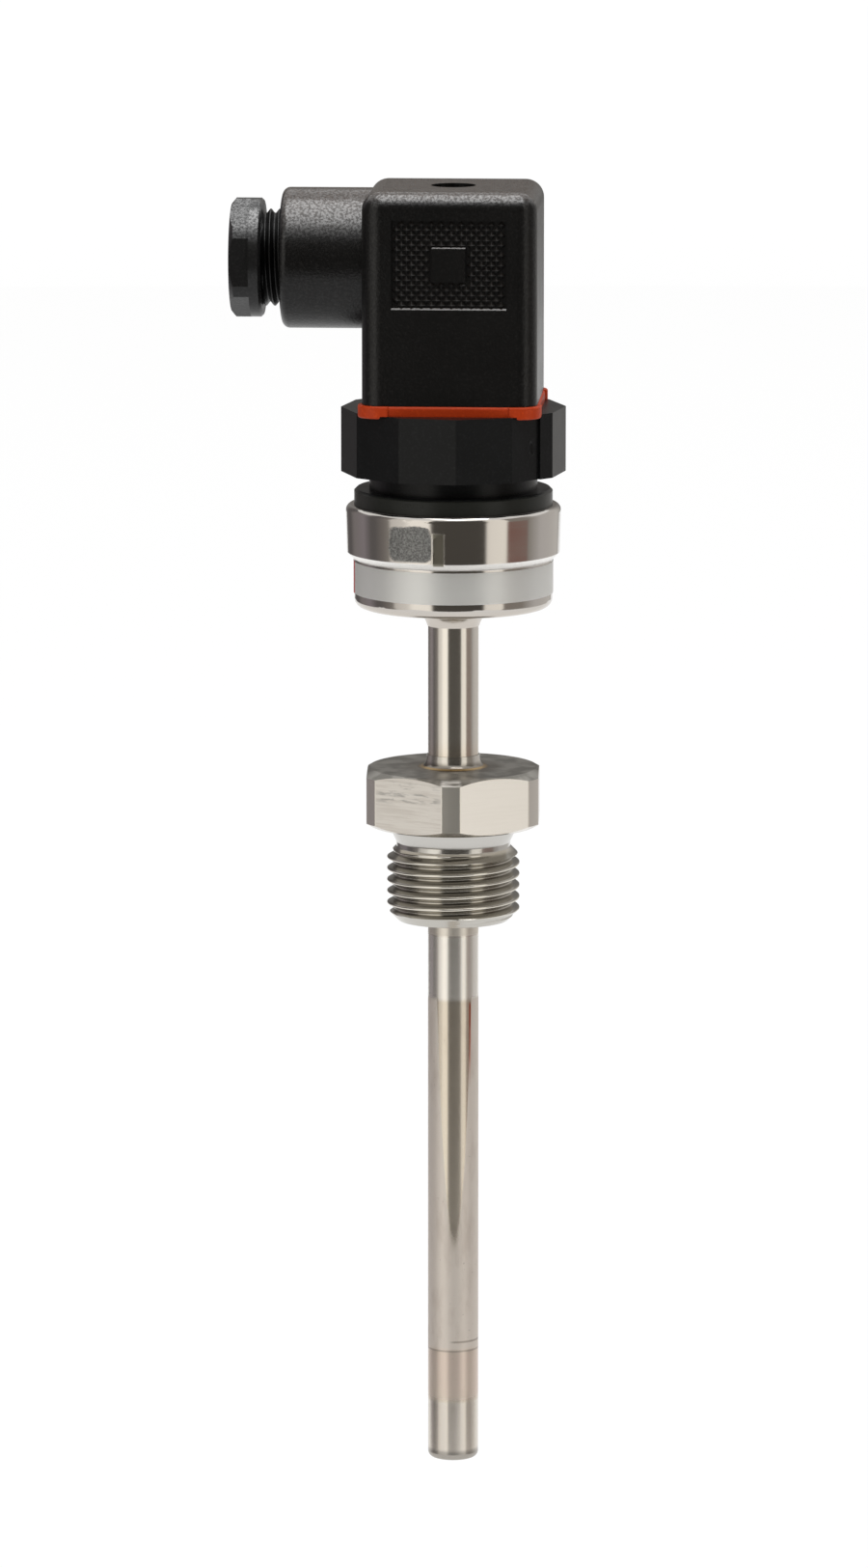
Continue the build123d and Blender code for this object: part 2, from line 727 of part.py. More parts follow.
# Contact carrier: block with socket pockets, wire chambers between crossed ribs and a screw tube
carrier_half = plug_inner_half - slip_gap
carrier_top_z = plug_low_z + carrier_height
socket_low_z = plug_low_z + socket_floor
socket_pocket_gap = running_gap
with BuildPart() as contact_carrier:
    with BuildSketch(Plane.XY.offset(plug_low_z)):
        RectangleRounded(carrier_half * 2, carrier_half * 2, carrier_corner)
    extrude(amount=carrier_height)
    with BuildSketch(Plane.XY.offset(carrier_top_z)):
        with Locations(Rotation(0, 0, 45), Rotation(0, 0, -45)):
            Rectangle(carrier_half * 2 * sqrt(2) - carrier_corner * 2, rib_thickness)
        Circle(rib_tube_radius)
    extrude(amount=rib_height)
    with BuildSketch(Plane.XY.offset(plug_low_z)):
        Circle(screw_passage / 2)
    extrude(amount=carrier_height + rib_height, mode=Mode.SUBTRACT)
    for angle in contact_plane_angles:
        pocket_plane = Plane(
            origin=(0, 0, socket_low_z),
            x_dir=(cos(radians(angle)), sin(radians(angle)), 0),
            z_dir=(0, 0, 1),
        )
        with BuildSketch(pocket_plane):
            with Locations((contact_radius, 0)):
                Rectangle(
                    socket_thickness + socket_pocket_gap * 2, socket_width + socket_pocket_gap * 2
                )
        extrude(amount=carrier_top_z - socket_low_z, mode=Mode.SUBTRACT)
        with BuildSketch(pocket_plane.offset(-socket_floor)):
            with Locations((contact_radius, 0)):
                Rectangle(blade_thickness + slip_gap * 2, blade_width + slip_gap * 2)
        extrude(amount=socket_floor, mode=Mode.SUBTRACT)
        with BuildSketch(pocket_plane.offset(carrier_height - socket_floor)):
            with Locations((terminal_radius, 0)):
                Circle(terminal_shank_diameter / 2 + running_gap)
        extrude(amount=-terminal_shank_length, mode=Mode.SUBTRACT)
contact_carrier.part.label = "contact_carrier"
export_step(contact_carrier.part, "parts/contact_carrier.step")

# Brass sockets: a slotted block in the pocket and a tab over the carrier for the wire
socket_names = ("socket_contact_1", "socket_contact_2", "socket_contact_3", "earth_socket")
tab_inner_radius = terminal_radius - terminal_head_diameter / 2
for name, angle in zip(socket_names, contact_plane_angles):
    socket_plane = Plane(
        origin=(0, 0, socket_low_z),
        x_dir=(cos(radians(angle)), sin(radians(angle)), 0),
        z_dir=(0, 0, 1),
    )
    with BuildPart() as socket:
        with BuildSketch(socket_plane):
            with Locations((contact_radius, 0)):
                Rectangle(socket_thickness, socket_width)
        extrude(amount=carrier_top_z - socket_low_z)
        with BuildSketch(socket_plane.offset(carrier_top_z - socket_low_z)):
            tab_outer_radius = contact_radius + socket_thickness / 2
            with Locations(((tab_outer_radius + tab_inner_radius) / 2, 0)):
                Rectangle(tab_outer_radius - tab_inner_radius, tab_width)
        extrude(amount=tab_thickness)
        with BuildSketch(socket_plane):
            with Locations((contact_radius, 0)):
                Rectangle(blade_thickness + running_gap * 2, blade_width + running_gap * 2)
        extrude(amount=carrier_top_z - socket_low_z - socket_roof, mode=Mode.SUBTRACT)
        with BuildSketch(socket_plane.offset(carrier_top_z - socket_low_z)):
            with Locations((terminal_radius, 0)):
                Circle(terminal_shank_diameter / 2 + running_gap)
        extrude(amount=tab_thickness, mode=Mode.SUBTRACT)
    socket.part.label = name
    export_step(socket.part, f"parts/{name}.step")

# Terminal screws, heads on the tabs
tab_top_z = carrier_top_z + tab_thickness
with BuildPart() as terminal_screws:
    with BuildSketch(Plane.XY.offset(tab_top_z)):
        for angle in contact_plane_angles:
            with PolarLocations(terminal_radius, 1, start_angle=angle):
                Circle(terminal_head_diameter / 2 - running_gap)
    extrude(amount=terminal_head_height)
    with BuildSketch(Plane.XY.offset(tab_top_z)):
        for angle in contact_plane_angles:
            with PolarLocations(terminal_radius, 1, start_angle=angle):
                Circle(terminal_shank_diameter / 2)
    extrude(amount=-(terminal_shank_length + tab_thickness) + running_gap)
    with BuildSketch(Plane.XY.offset(tab_top_z + terminal_head_height)):
        for angle in contact_plane_angles:
            with PolarLocations(terminal_radius, 1, start_angle=angle):
                Rectangle(terminal_slot_width, terminal_head_diameter)
    extrude(amount=-terminal_slot_depth, mode=Mode.SUBTRACT)
terminal_screws.part.label = "terminal_screws"
export_step(terminal_screws.part, "parts/terminal_screws.step")

# Fixing screw down the plug's middle
with BuildPart() as fixing_screw:
    with BuildSketch(Plane.XY.offset(screw_tip_z)):
        Circle(screw_diameter / 2)
    extrude(amount=screw_length)
    chamfer(fixing_screw.faces().sort_by(Axis.Z)[0].edges(), screw_tip_chamfer)
    with BuildSketch(Plane.XY.offset(screw_seat_z)):
        Circle(screw_head_diameter / 2)
    extrude(amount=screw_head_height)
    with BuildSketch(Plane.XY.offset(screw_seat_z + screw_head_height)):
        Rectangle(screw_head_diameter, screw_slot_width)
    extrude(amount=-screw_slot_depth, mode=Mode.SUBTRACT)
fixing_screw.part.label = "fixing_screw"
export_step(fixing_screw.part, "parts/fixing_screw.step")

# Sealing ring under the screw's head
with BuildPart() as screw_seal_ring:
    with BuildSketch(Plane.XY.offset(ring_seat_z)):
        Circle(seal_ring_diameter / 2)
        Circle(screw_diameter / 2 + running_gap, mode=Mode.SUBTRACT)
    extrude(amount=seal_ring_thickness)
screw_seal_ring.part.label = "screw_seal_ring"
export_step(screw_seal_ring.part, "parts/screw_seal_ring.step")

# Gland seal against the seat, washer and screw
with BuildPart() as gland_seal:
    with BuildSketch(Plane.YZ.offset(gland_seat_x - gland_seal_length)):
        with Locations((0, gland_z)):
            Circle(spigot_bore_radius - gland_seal_gap)
            Circle(gland_seal_bore / 2, mode=Mode.SUBTRACT)
    extrude(amount=gland_seal_length)
gland_seal.part.label = "gland_seal"
export_step(gland_seal.part, "parts/gland_seal.step")

with BuildPart() as gland_washer:
    with BuildSketch(Plane.YZ.offset(gland_inner_x)):
        with Locations((0, gland_z)):
            Circle(spigot_bore_radius - gland_seal_gap)
            Circle(gland_washer_bore / 2, mode=Mode.SUBTRACT)
    extrude(amount=gland_washer_thickness)
gland_washer.part.label = "gland_washer"
export_step(gland_washer.part, "parts/gland_washer.step")

# Gland screw: hexagon cut from a turned head, round collar and threaded shank
gland_head_radius = gland_head_diameter / 2
hexagon_plane = Plane(origin=(gland_hexagon_x, 0, gland_z), x_dir=(0, 1, 0), z_dir=(-1, 0, 0))
with BuildPart() as gland_screw:
    with BuildSketch(hexagon_plane):
        RegularPolygon(gland_hexagon_width / 2, 6, major_radius=False, rotation=30)
    extrude(amount=gland_hexagon_length)
    with BuildSketch(Plane.XZ):
        with BuildLine():
            Polyline(
                (gland_hexagon_x, gland_z),
                (gland_hexagon_x, gland_z + gland_head_radius),
                (gland_end_x + gland_bevel, gland_z + gland_head_radius),
                (gland_end_x, gland_z + gland_head_radius - gland_bevel_drop),
                (gland_end_x, gland_z),
                close=True,
            )
        make_face()
    revolve(axis=gland_axis, mode=Mode.INTERSECT)
    with BuildSketch(Plane.XZ):
        with BuildLine():
            Polyline(
                (gland_hexagon_x, gland_z),
                (gland_hexagon_x, gland_z + gland_head_radius),
                (gland_collar_x - gland_bevel / 2, gland_z + gland_head_radius),
                (gland_collar_x, gland_z + gland_head_radius - gland_bevel / 2),
                (gland_collar_x, gland_z + gland_thread_radius),
                (gland_inner_x - gland_bevel, gland_z + gland_thread_radius),
                (gland_inner_x, gland_z + gland_thread_radius - gland_bevel),
                (gland_inner_x, gland_z),
                close=True,
            )
        make_face()
    revolve(axis=gland_axis)
    with BuildSketch(Plane.YZ.offset(gland_end_x)):
        with Locations((0, gland_z)):
            Circle(gland_bore_diameter / 2)
    extrude(amount=gland_inner_x - gland_end_x, mode=Mode.SUBTRACT)
    bore_mouth = gland_screw.edges().filter_by(GeomType.CIRCLE).group_by(Axis.X)[0]
    chamfer(bore_mouth.sort_by(SortBy.RADIUS)[0], gland_bore_mouth)
gland_screw.part.label = "gland_screw"
export_step(gland_screw.part, "parts/gland_screw.step")
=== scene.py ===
import json
import math

import bmesh
import bpy
from mathutils import Matrix, Vector


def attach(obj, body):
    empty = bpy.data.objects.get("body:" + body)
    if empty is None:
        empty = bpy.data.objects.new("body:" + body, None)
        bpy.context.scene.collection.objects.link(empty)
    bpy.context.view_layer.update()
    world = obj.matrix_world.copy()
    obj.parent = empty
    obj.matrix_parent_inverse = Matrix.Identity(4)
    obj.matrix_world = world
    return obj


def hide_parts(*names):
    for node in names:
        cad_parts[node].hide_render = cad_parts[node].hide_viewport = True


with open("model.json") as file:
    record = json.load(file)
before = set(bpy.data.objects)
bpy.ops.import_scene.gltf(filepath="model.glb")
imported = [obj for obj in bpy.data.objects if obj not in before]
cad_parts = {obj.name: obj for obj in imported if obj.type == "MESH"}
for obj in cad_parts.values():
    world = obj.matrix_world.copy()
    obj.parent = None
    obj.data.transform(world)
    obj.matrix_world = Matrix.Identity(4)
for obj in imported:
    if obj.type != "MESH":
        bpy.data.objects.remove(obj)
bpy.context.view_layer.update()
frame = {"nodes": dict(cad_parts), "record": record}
cadNodes = frame["nodes"]
mm = 0.001
print("frame loaded:", len(cadNodes), "nodes")


# A socket that can be used like a number, each operation adds its Math node
class Wire:
    def __init__(self, tree, socket):
        self.tree = tree
        self.socket = socket

    def out(self, name):
        return Wire(self.tree, self.socket.node.outputs[name])

    def __add__(self, other):
        return self.tree.maths("ADD", self, other)

    def __sub__(self, other):
        return self.tree.maths("SUBTRACT", self, other)

    def __mul__(self, other):
        return self.tree.maths("MULTIPLY", self, other)

    def __truediv__(self, other):
        return self.tree.maths("DIVIDE", self, other)

    def __radd__(self, other):
        return self.tree.maths("ADD", other, self)

    def __rsub__(self, other):
        return self.tree.maths("SUBTRACT", other, self)

    def __rmul__(self, other):
        return self.tree.maths("MULTIPLY", other, self)


class Tree:
    def __init__(self, nodeTree, settings=None):
        self.nodeTree = nodeTree
        self.settings = settings
        nodeTree.nodes.clear()

    # The node's own settings come first, because some of them change which sockets there are
    def node(self, kind, settings=None, values=None, output=0):
        made = self.nodeTree.nodes.new(kind)
        for name, value in (settings or {}).items():
            if name == "stops":
                self.fillRamp(made.color_ramp, value)
            else:
                setattr(made, name, value)
        for name, value in (values or {}).items():
            if isinstance(value, Wire):
                self.nodeTree.links.new(value.socket, made.inputs[name])
            else:
                made.inputs[name].default_value = value
        return Wire(self, made.outputs[output]) if len(made.outputs) else made

    def fillRamp(self, ramp, stops):
        while len(ramp.elements) > 1:
            ramp.elements.remove(ramp.elements[-1])
        ramp.elements[0].position = stops[0][0]
        ramp.elements[0].color = stops[0][1]
        for position, colour in stops[1:]:
            ramp.elements.new(position).color = colour

    def maths(self, operation, first, second=0.0):
        return self.node("ShaderNodeMath", {"operation": operation}, {0: first, 1: second})

    def absolute(self, value):
        return self.maths("ABSOLUTE", value)

    def root(self, value):
        return self.maths("SQRT", value)

    def place(self, stretch=(1, 1, 1)):
        here = self.node("ShaderNodeTexCoord", {}, {}, "Object")
        return self.node("ShaderNodeMapping", {}, {"Vector": here, "Scale": stretch})

    def axes(self, vector):
        split = self.node("ShaderNodeSeparateXYZ", {}, {0: vector})
        return split.out("X"), split.out("Y"), split.out("Z")

    # Where the surface lies, in millimetres
    def spot(self):
        return [axis * (1 / mm) for axis in self.axes(self.place())]

    # Degrees round the upright axis, 0 in front and 90 on the right
    def azimuth(self, x, y):
        return self.maths("ARCTAN2", x, 0.0 - y) * (180 / math.pi)

    # 1 where the surface faces up, 0 where it is upright
    def upward(self):
        return self.axes(self.node("ShaderNodeNewGeometry", {}, {}, "Normal"))[2]

    # The scale is one number, or one for each axis
    def noise(self, scale, detail, rough):
        perAxis = isinstance(scale, tuple)
        values = {"Vector": self.place(scale) if perAxis else self.place()}
        values["Scale"] = 1.0 if perAxis else scale
        values["Detail"] = detail
        values["Roughness"] = rough
        return self.node("ShaderNodeTexNoise", {}, values)

    def grain(self, name):
        return self.noise(*self.settings[name])

    # 0 up to the first value and 1 from the second one
    def rise(self, value, start, end):
        return self.node(
            "ShaderNodeMapRange",
            {"interpolation_type": "SMOOTHSTEP"},
            {"Value": value, "From Min": start, "From Max": end},
        )

    def within(self, value, low, high, soft):
        return self.rise(value, low - soft, low + soft) * self.rise(value, high + soft, high - soft)

    # A zone in the settings: two values are a rise, three are a low end, a high end and a blur
    def zone(self, value, name):
        limits = self.settings[name]
        return self.rise(value, *limits) if len(limits) == 2 else self.within(value, *limits)

    def mix(self, factor, first, second):
        values = {0: factor, 6: first, 7: second}
        return self.node("ShaderNodeMix", {"data_type": "RGBA"}, values, 2)

    # Lays colours over the first one, each with how much it covers. A name is one in the settings.
    def layers(self, first, coats):
        shade = self.settings[first]
        for cover, paint in coats:
            paint = self.settings[paint] if isinstance(paint, str) else paint
            shade = self.mix(cover, shade, paint)
        return shade

    # The height is in millimetres
    def bump(self, height, strength):
        values = {"Height": height, "Distance": mm, "Strength": strength}
        return self.node("ShaderNodeBump", {}, values)

    def surface(self, values):
        shader = self.node("ShaderNodeBsdfPrincipled", {}, values)
        self.node("ShaderNodeOutputMaterial", {}, {"Surface": shader})


def colour(red, green, blue):
    return (red, green, blue, 1.0)


def newTree(name, settings):
    material = bpy.data.materials.new(name)
    material.use_nodes = True
    return material, Tree(material.node_tree, settings)


# Camera at the photograph's viewing angle
cameraView = {
    "pitchDegrees": 9.5,
    "azimuthDegrees": 3.4,
    "distance": 1.370,
    "lens": 199.4,
    "targetHeight": 0.00631,
    "sideStep": 0.00305,
    "sensorWidth": 36,
    "clipStart": 0.05,
    "clipEnd": 60,
}


def addCamera(view):
    pitch = math.radians(view["pitchDegrees"])
    turn = math.radians(view["azimuthDegrees"])
    level = math.cos(pitch)
    back = Vector((math.sin(turn) * level, -math.cos(turn) * level, math.sin(pitch)))
    right = Vector((math.cos(turn), math.sin(turn), 0))
    target = Vector((0, 0, view["targetHeight"])) - right * view["sideStep"]
    camera = bpy.data.objects.new("camera", bpy.data.cameras.new("camera"))
    bpy.context.scene.collection.objects.link(camera)
    camera.data.lens = view["lens"]
    camera.data.sensor_width = view["sensorWidth"]
    camera.location = target + back * view["distance"]
    camera.rotation_mode = "QUATERNION"
    camera.rotation_quaternion = (-back).to_track_quat("-Z", "Y")
    camera.data.clip_start = view["clipStart"]
    camera.data.clip_end = view["clipEnd"]
    bpy.context.scene.camera = camera


addCamera(cameraView)

# Studio: white world, a ring of soft boxes and dark cards, a top light, a pale floor.
# The cards are given as azimuth in degrees, 0 in front, and the colour that they send out.
studio = {
    "wallRadius": 4.0,
    "wallLow": -1.6,
    "wallTop": 3.4,
    "cards": [
        (-180, (0.18, 0.17, 0.16)),
        (-166, (0.26, 0.25, 0.24)),
        (-151, (0.13, 0.12, 0.12)),
        (-142, (0.13, 0.12, 0.12)),
        (-131, (0.25, 0.23, 0.23)),
        (-110, (0.30, 0.27, 0.29)),
        (-97, (0.15, 0.14, 0.14)),
        (-90, (0.15, 0.14, 0.14)),
        (-79, (0.23, 0.21, 0.20)),
        (-71, (0.30, 0.28, 0.26)),
        (-68, (0.80, 0.77, 0.73)),
        (-52, (0.95, 0.92, 0.87)),
        (-44, (1.32, 1.28, 1.20)),
        (-23, (1.32, 1.28, 1.20)),
        (-20, (0.090, 0.083, 0.074)),
        (37.5, (0.090, 0.083, 0.074)),
        (40.5, (1.11, 1.07, 1.00)),
        (62, (1.18, 1.14, 1.06)),
        (65, (0.30, 0.275, 0.25)),
        (90, (0.32, 0.295, 0.27)),
        (99, (0.45, 0.43, 0.41)),
        (112, (0.62, 0.60, 0.59)),
        (150, (0.66, 0.64, 0.61)),
        (170, (0.28, 0.27, 0.26)),
        (180, (0.18, 0.17, 0.16)),
    ],
    "brightest": 1.4,
    "redCard": (0.26, 0.10, 0.08),
    "redSide": (64, 91, 1.5),
    "redHeight": (-0.80, -0.67, 0.03),
    "wallSides": 96,
    "backFrom": 0.3,
    "floorHeight": -0.35,
    "floorHalfWidth": 0.9,
    "floorFront": -0.98,
    "floorBack": 13.0,
    "floorColour": colour(0.86, 0.86, 0.86),
    "floorGlow": 1.03,
    "glowShare": 0.93,
    "wallBackTop": 2.0,
    "topLightPower": 12.0,
    "topLightSize": (0.8, 1.3),
    "topLightPlace": (0.05, -0.1, 1.3),
}


def addWorld():
    world = bpy.data.worlds.new("studio")
    bpy.context.scene.world = world
    world.use_nodes = True
    tree = Tree(world.node_tree)
    shader = tree.node("ShaderNodeBackground", {}, {"Color": colour(1, 1, 1), "Strength": 1.0})
    tree.node("ShaderNodeOutputWorld", {}, {"Surface": shader})


def addWall(settings):
    form = bmesh.new()
    count = settings["wallSides"]
    rows = []
    for top in (0, 1):
        ring = []
        for step in range(count):
            angle = 2 * math.pi * step / count
            x = settings["wallRadius"] * math.cos(angle)
            y = settings["wallRadius"] * math.sin(angle)
            behind = math.sin(angle) >= settings["backFrom"]
            high = settings["wallBackTop"] if behind else settings["wallTop"]
            ring.append(form.verts.new((x, y, high if top else settings["wallLow"])))
        rows.append(ring)
    for step in range(count):
        after = (step + 1) % count
        form.faces.new((rows[0][step], rows[0][after], rows[1][after], rows[1][step]))
    wall = newPiece("studioWall", form)
    wall.visible_camera = False
    wall.visible_shadow = False
    material, tree = newTree("studioCards", settings)
    x, y, z = tree.axes(tree.place())
    turn = tree.azimuth(x, y)
    brightest = settings["brightest"]
    stops = [
        ((degrees + 180) / 360, colour(*[value / brightest for value in card]))
        for degrees, card in settings["cards"]
    ]
    ramp = tree.node("ShaderNodeValToRGB", {"stops": stops}, {0: turn / 360 + 0.5})
    red = colour(*[value / brightest for value in settings["redCard"]])
    redPart = tree.zone(turn, "redSide") * tree.zone(z, "redHeight")
    shade = tree.mix(redPart, ramp, red)
    shader = tree.node("ShaderNodeEmission", {}, {"Color": shade, "Strength": brightest})
    tree.node("ShaderNodeOutputMaterial", {}, {"Surface": shader})
    wall.data.materials.append(material)


def addFloor(settings):
    form = bmesh.new()
    half = settings["floorHalfWidth"]
    corners = [
        (-half, settings["floorFront"]),
        (half, settings["floorFront"]),
        (half, settings["floorBack"]),
        (-half, settings["floorBack"]),
    ]
    form.faces.new([form.verts.new((x, y, settings["floorHeight"])) for x, y in corners])
    floor = newPiece("studioFloor", form)
    material, tree = newTree("paleFloor", settings)
    ray = tree.node("ShaderNodeLightPath", {}, {}, "Is Camera Ray")
    seen = ray + ray.out("Is Glossy Ray") + ray.out("Is Transmission Ray")
    paint = tree.node("ShaderNodeBsdfDiffuse", {}, {"Color": settings["floorColour"]})
    white = {"Color": colour(1, 1, 1), "Strength": settings["floorGlow"]}
    glow = tree.node("ShaderNodeEmission", {}, white)
    share = seen * settings["glowShare"]
    plain = tree.node("ShaderNodeMixShader", {}, {0: share, 1: paint, 2: glow})
    clear = tree.node("ShaderNodeBsdfTransparent")
    under = tree.node("ShaderNodeNewGeometry", {}, {}, "Backfacing")
    both = tree.node("ShaderNodeMixShader", {}, {0: under, 1: plain, 2: clear})
    tree.node("ShaderNodeOutputMaterial", {}, {"Surface": both})
    floor.data.materials.append(material)


def addTopLight(settings):
    lamp = bpy.data.lights.new("topLight", "AREA")
    lamp.shape = "RECTANGLE"
    lamp.size, lamp.size_y = settings["topLightSize"]
    lamp.energy = settings["topLightPower"]
    light = bpy.data.objects.new("topLight", lamp)
    bpy.context.scene.collection.objects.link(light)
    light.location = settings["topLightPlace"]
    light.rotation_mode = "QUATERNION"
    light.rotation_quaternion = (-light.location).to_track_quat("-Z", "Y")
    light.visible_camera = False


# Smooth faces, with the edges that turn more than this kept sharp
def markSharp(form, degrees):
    for face in form.faces:
        face.smooth = True
    for edge in form.edges:
        turn = edge.calc_face_angle(0.0) if edge.is_manifold else math.pi
        edge.smooth = turn < math.radians(degrees)


def newPiece(name, form):
    mesh = bpy.data.meshes.new(name)
    form.to_mesh(mesh)
    form.free()
    piece = bpy.data.objects.new(name, mesh)
    bpy.context.scene.collection.objects.link(piece)
    return piece


addWorld()
addWall(studio)
addFloor(studio)
addTopLight(studio)
bpy.context.scene.view_settings.view_transform = "Standard"
print("camera and studio ready")


# Drawn stainless tube: fine lines round it, worn, stained and heat-tinted in zones along it,
# with a brushed zone painted brighter as a painted reflection and painted shade on the tip's lower
# edge.
# Zones are heights in millimetres, and those called a side are in degrees, as is flatMiddle.
# Each grain has its scale, one number or one for each axis, its detail and its roughness.
tubeSteel = {
    "steel": colour(0.69, 0.655, 0.60),
    "bright": colour(0.86, 0.83, 0.78),
    "dulled": colour(0.62, 0.545, 0.44),
    "pale": colour(0.665, 0.605, 0.545),
    "stained": colour(0.40, 0.325, 0.27),
    "specked": colour(0.25, 0.22, 0.19),
    "golden": colour(0.66, 0.50, 0.33),
    "pinkish": colour(0.66, 0.54, 0.47),
    "rust": colour(0.50, 0.115, 0.060),
    "line": colour(0.24, 0.195, 0.16),
    "tip": colour(0.64, 0.575, 0.50),
    "tipEdge": colour(0.36, 0.335, 0.30),
    "polish": 0.14,
    "drawnGrain": ((60, 60, 5200), 3, 0.6),
    "cloudGrain": ((160, 160, 50), 4, 0.6),
    "speckGrain": (1900, 2, 0.5),
    "raggedGrain": ((900, 900, 300), 3, 0.6),
    "stainGrain": ((420, 420, 130), 4, 0.6),
    "capTint": (32.5, 35.5),
    "footTint": (14.5, 10.5),
    "footEnd": (8.5, 9.5),
    "lower": (0.0, -4.0),
    "seatTop": (-14.0, -14.4),
    "seatEnd": (-17.5, -17.3),
    "seatLine": (-17.6, -17.4, 0.1),
    "brushedTop": (-14.0, -15.0),
    "brushedEnd": (-28.2, -27.2),
    "dullTop": (-27.2, -28.2),
    "dullEnd": (-93.4, -92.6),
    "worn": (-72, -29.5, 3.0),
    "streakTop": (-27.9, -28.6),
    "streakEnd": (-43.0, -34.0),
    "streakSide": (42.0, 47.0, 1.5),
    "flatTip": -69.0,
    "flatMiddle": 6.0,
    "flatSpread": 0.021,
    "flatCloud": 5.0,
    "flatBlur": 2.5,
    "flatEnd": (-84.9, -83.9),
    "upperRing": (-83.2, -82.9, 0.10),
    "upperRingSide": (-8, 8),
    "lowerRing": (-84.7, -84.4, 0.10),
    "tipTint": (-92.4, -84.5, 0.8),
    "tipTop": (-92.9, -93.4),
    "tipEdgeShadeTop": (-100.5, -101.3),
}


def makeTubeSteel(settings):
    material, tree = newTree("tubeSteel", settings)
    x, y, height = tree.spot()
    turn = tree.azimuth(x, y)
    lines = tree.grain("drawnGrain")
    cloud = tree.grain("cloudGrain")
    specks = tree.rise(tree.grain("speckGrain"), 0.70, 0.76)
    ragged = tree.rise(tree.grain("raggedGrain"), 0.42, 0.62)
    dull = tree.zone(height, "dullTop") * tree.zone(height, "dullEnd")
    stain = tree.rise(tree.grain("stainGrain"), 0.46, 0.72) * dull
    worn = tree.zone(height, "worn") * tree.rise(cloud, 0.35, 0.65)
    brushed = tree.zone(height, "brushedTop") * tree.zone(height, "brushedEnd")
    seat = tree.zone(height, "seatEnd") * tree.zone(height, "seatTop")
    seatLine = tree.zone(height, "seatLine")
    streak = tree.zone(turn, "streakSide")
    streak = streak * tree.zone(height, "streakTop") * tree.zone(height, "streakEnd")
    rings = tree.zone(height, "upperRing") * tree.zone(turn, "upperRingSide")
    rings = rings + tree.zone(height, "lowerRing") * 0.8
    tipTint = tree.zone(height, "tipTint")
    foot = tree.zone(height, "footTint") * tree.zone(height, "footEnd")
    # The dull blank lower part is pale; its upper edge is a painted bow that follows the dark
    # reflection in front
    aside = tree.absolute(turn - settings["flatMiddle"])
    border = aside * aside * settings["flatSpread"] + cloud * settings["flatCloud"]
    border = border + settings["flatTip"]
    blur = settings["flatBlur"]
    flat = tree.rise(height, border + blur, border - blur) * dull * tree.zone(height, "flatEnd")
    shade = tree.layers(
        "steel",
        [
            (dull * 0.75, "dulled"),
            (worn * 0.25, "dulled"),
            # painted reflection: the brushed zone is painted brighter
            (brushed * 0.6, "bright"),
            (flat, "pale"),
            (tree.zone(height, "tipTop") * 0.6, "tip"),
            # painted shade on the tip's lower edge, which faces down
            (tree.zone(height, "tipEdgeShadeTop") * 0.95, "tipEdge"),
            (stain * 0.30, "stained"),
            (tipTint * (tree.rise(cloud, 0.32, 0.66) * 0.6 + 0.25), "pinkish"),
            (foot * 0.25, "golden"),
            (tree.zone(height, "capTint") * 0.4, "golden"),
            (rings * 0.6, "line"),
            (seat * (cloud * 0.5 + 0.2) + seatLine * 0.3, "dulled"),
            (streak * (ragged * 0.3 + 0.7), "rust"),
            (specks * dull * 0.35, "specked"),
        ],
    )
    rough = settings["polish"] + lines * 0.06 + dull * 0.04 + tipTint * 0.10
    rough = rough + brushed * 0.08 + seat * 0.10 + flat * 0.26
    tree.surface(
        {
            "Base Color": shade,
            "Metallic": 0.98 - tree.zone(height, "lower") * 0.05 - flat * 0.25 - tipTint * 0.08,
            "Roughness": rough,
            "Normal": tree.bump(lines * 0.0016 + cloud * 0.004, 0.8),
        }
    )
    return material


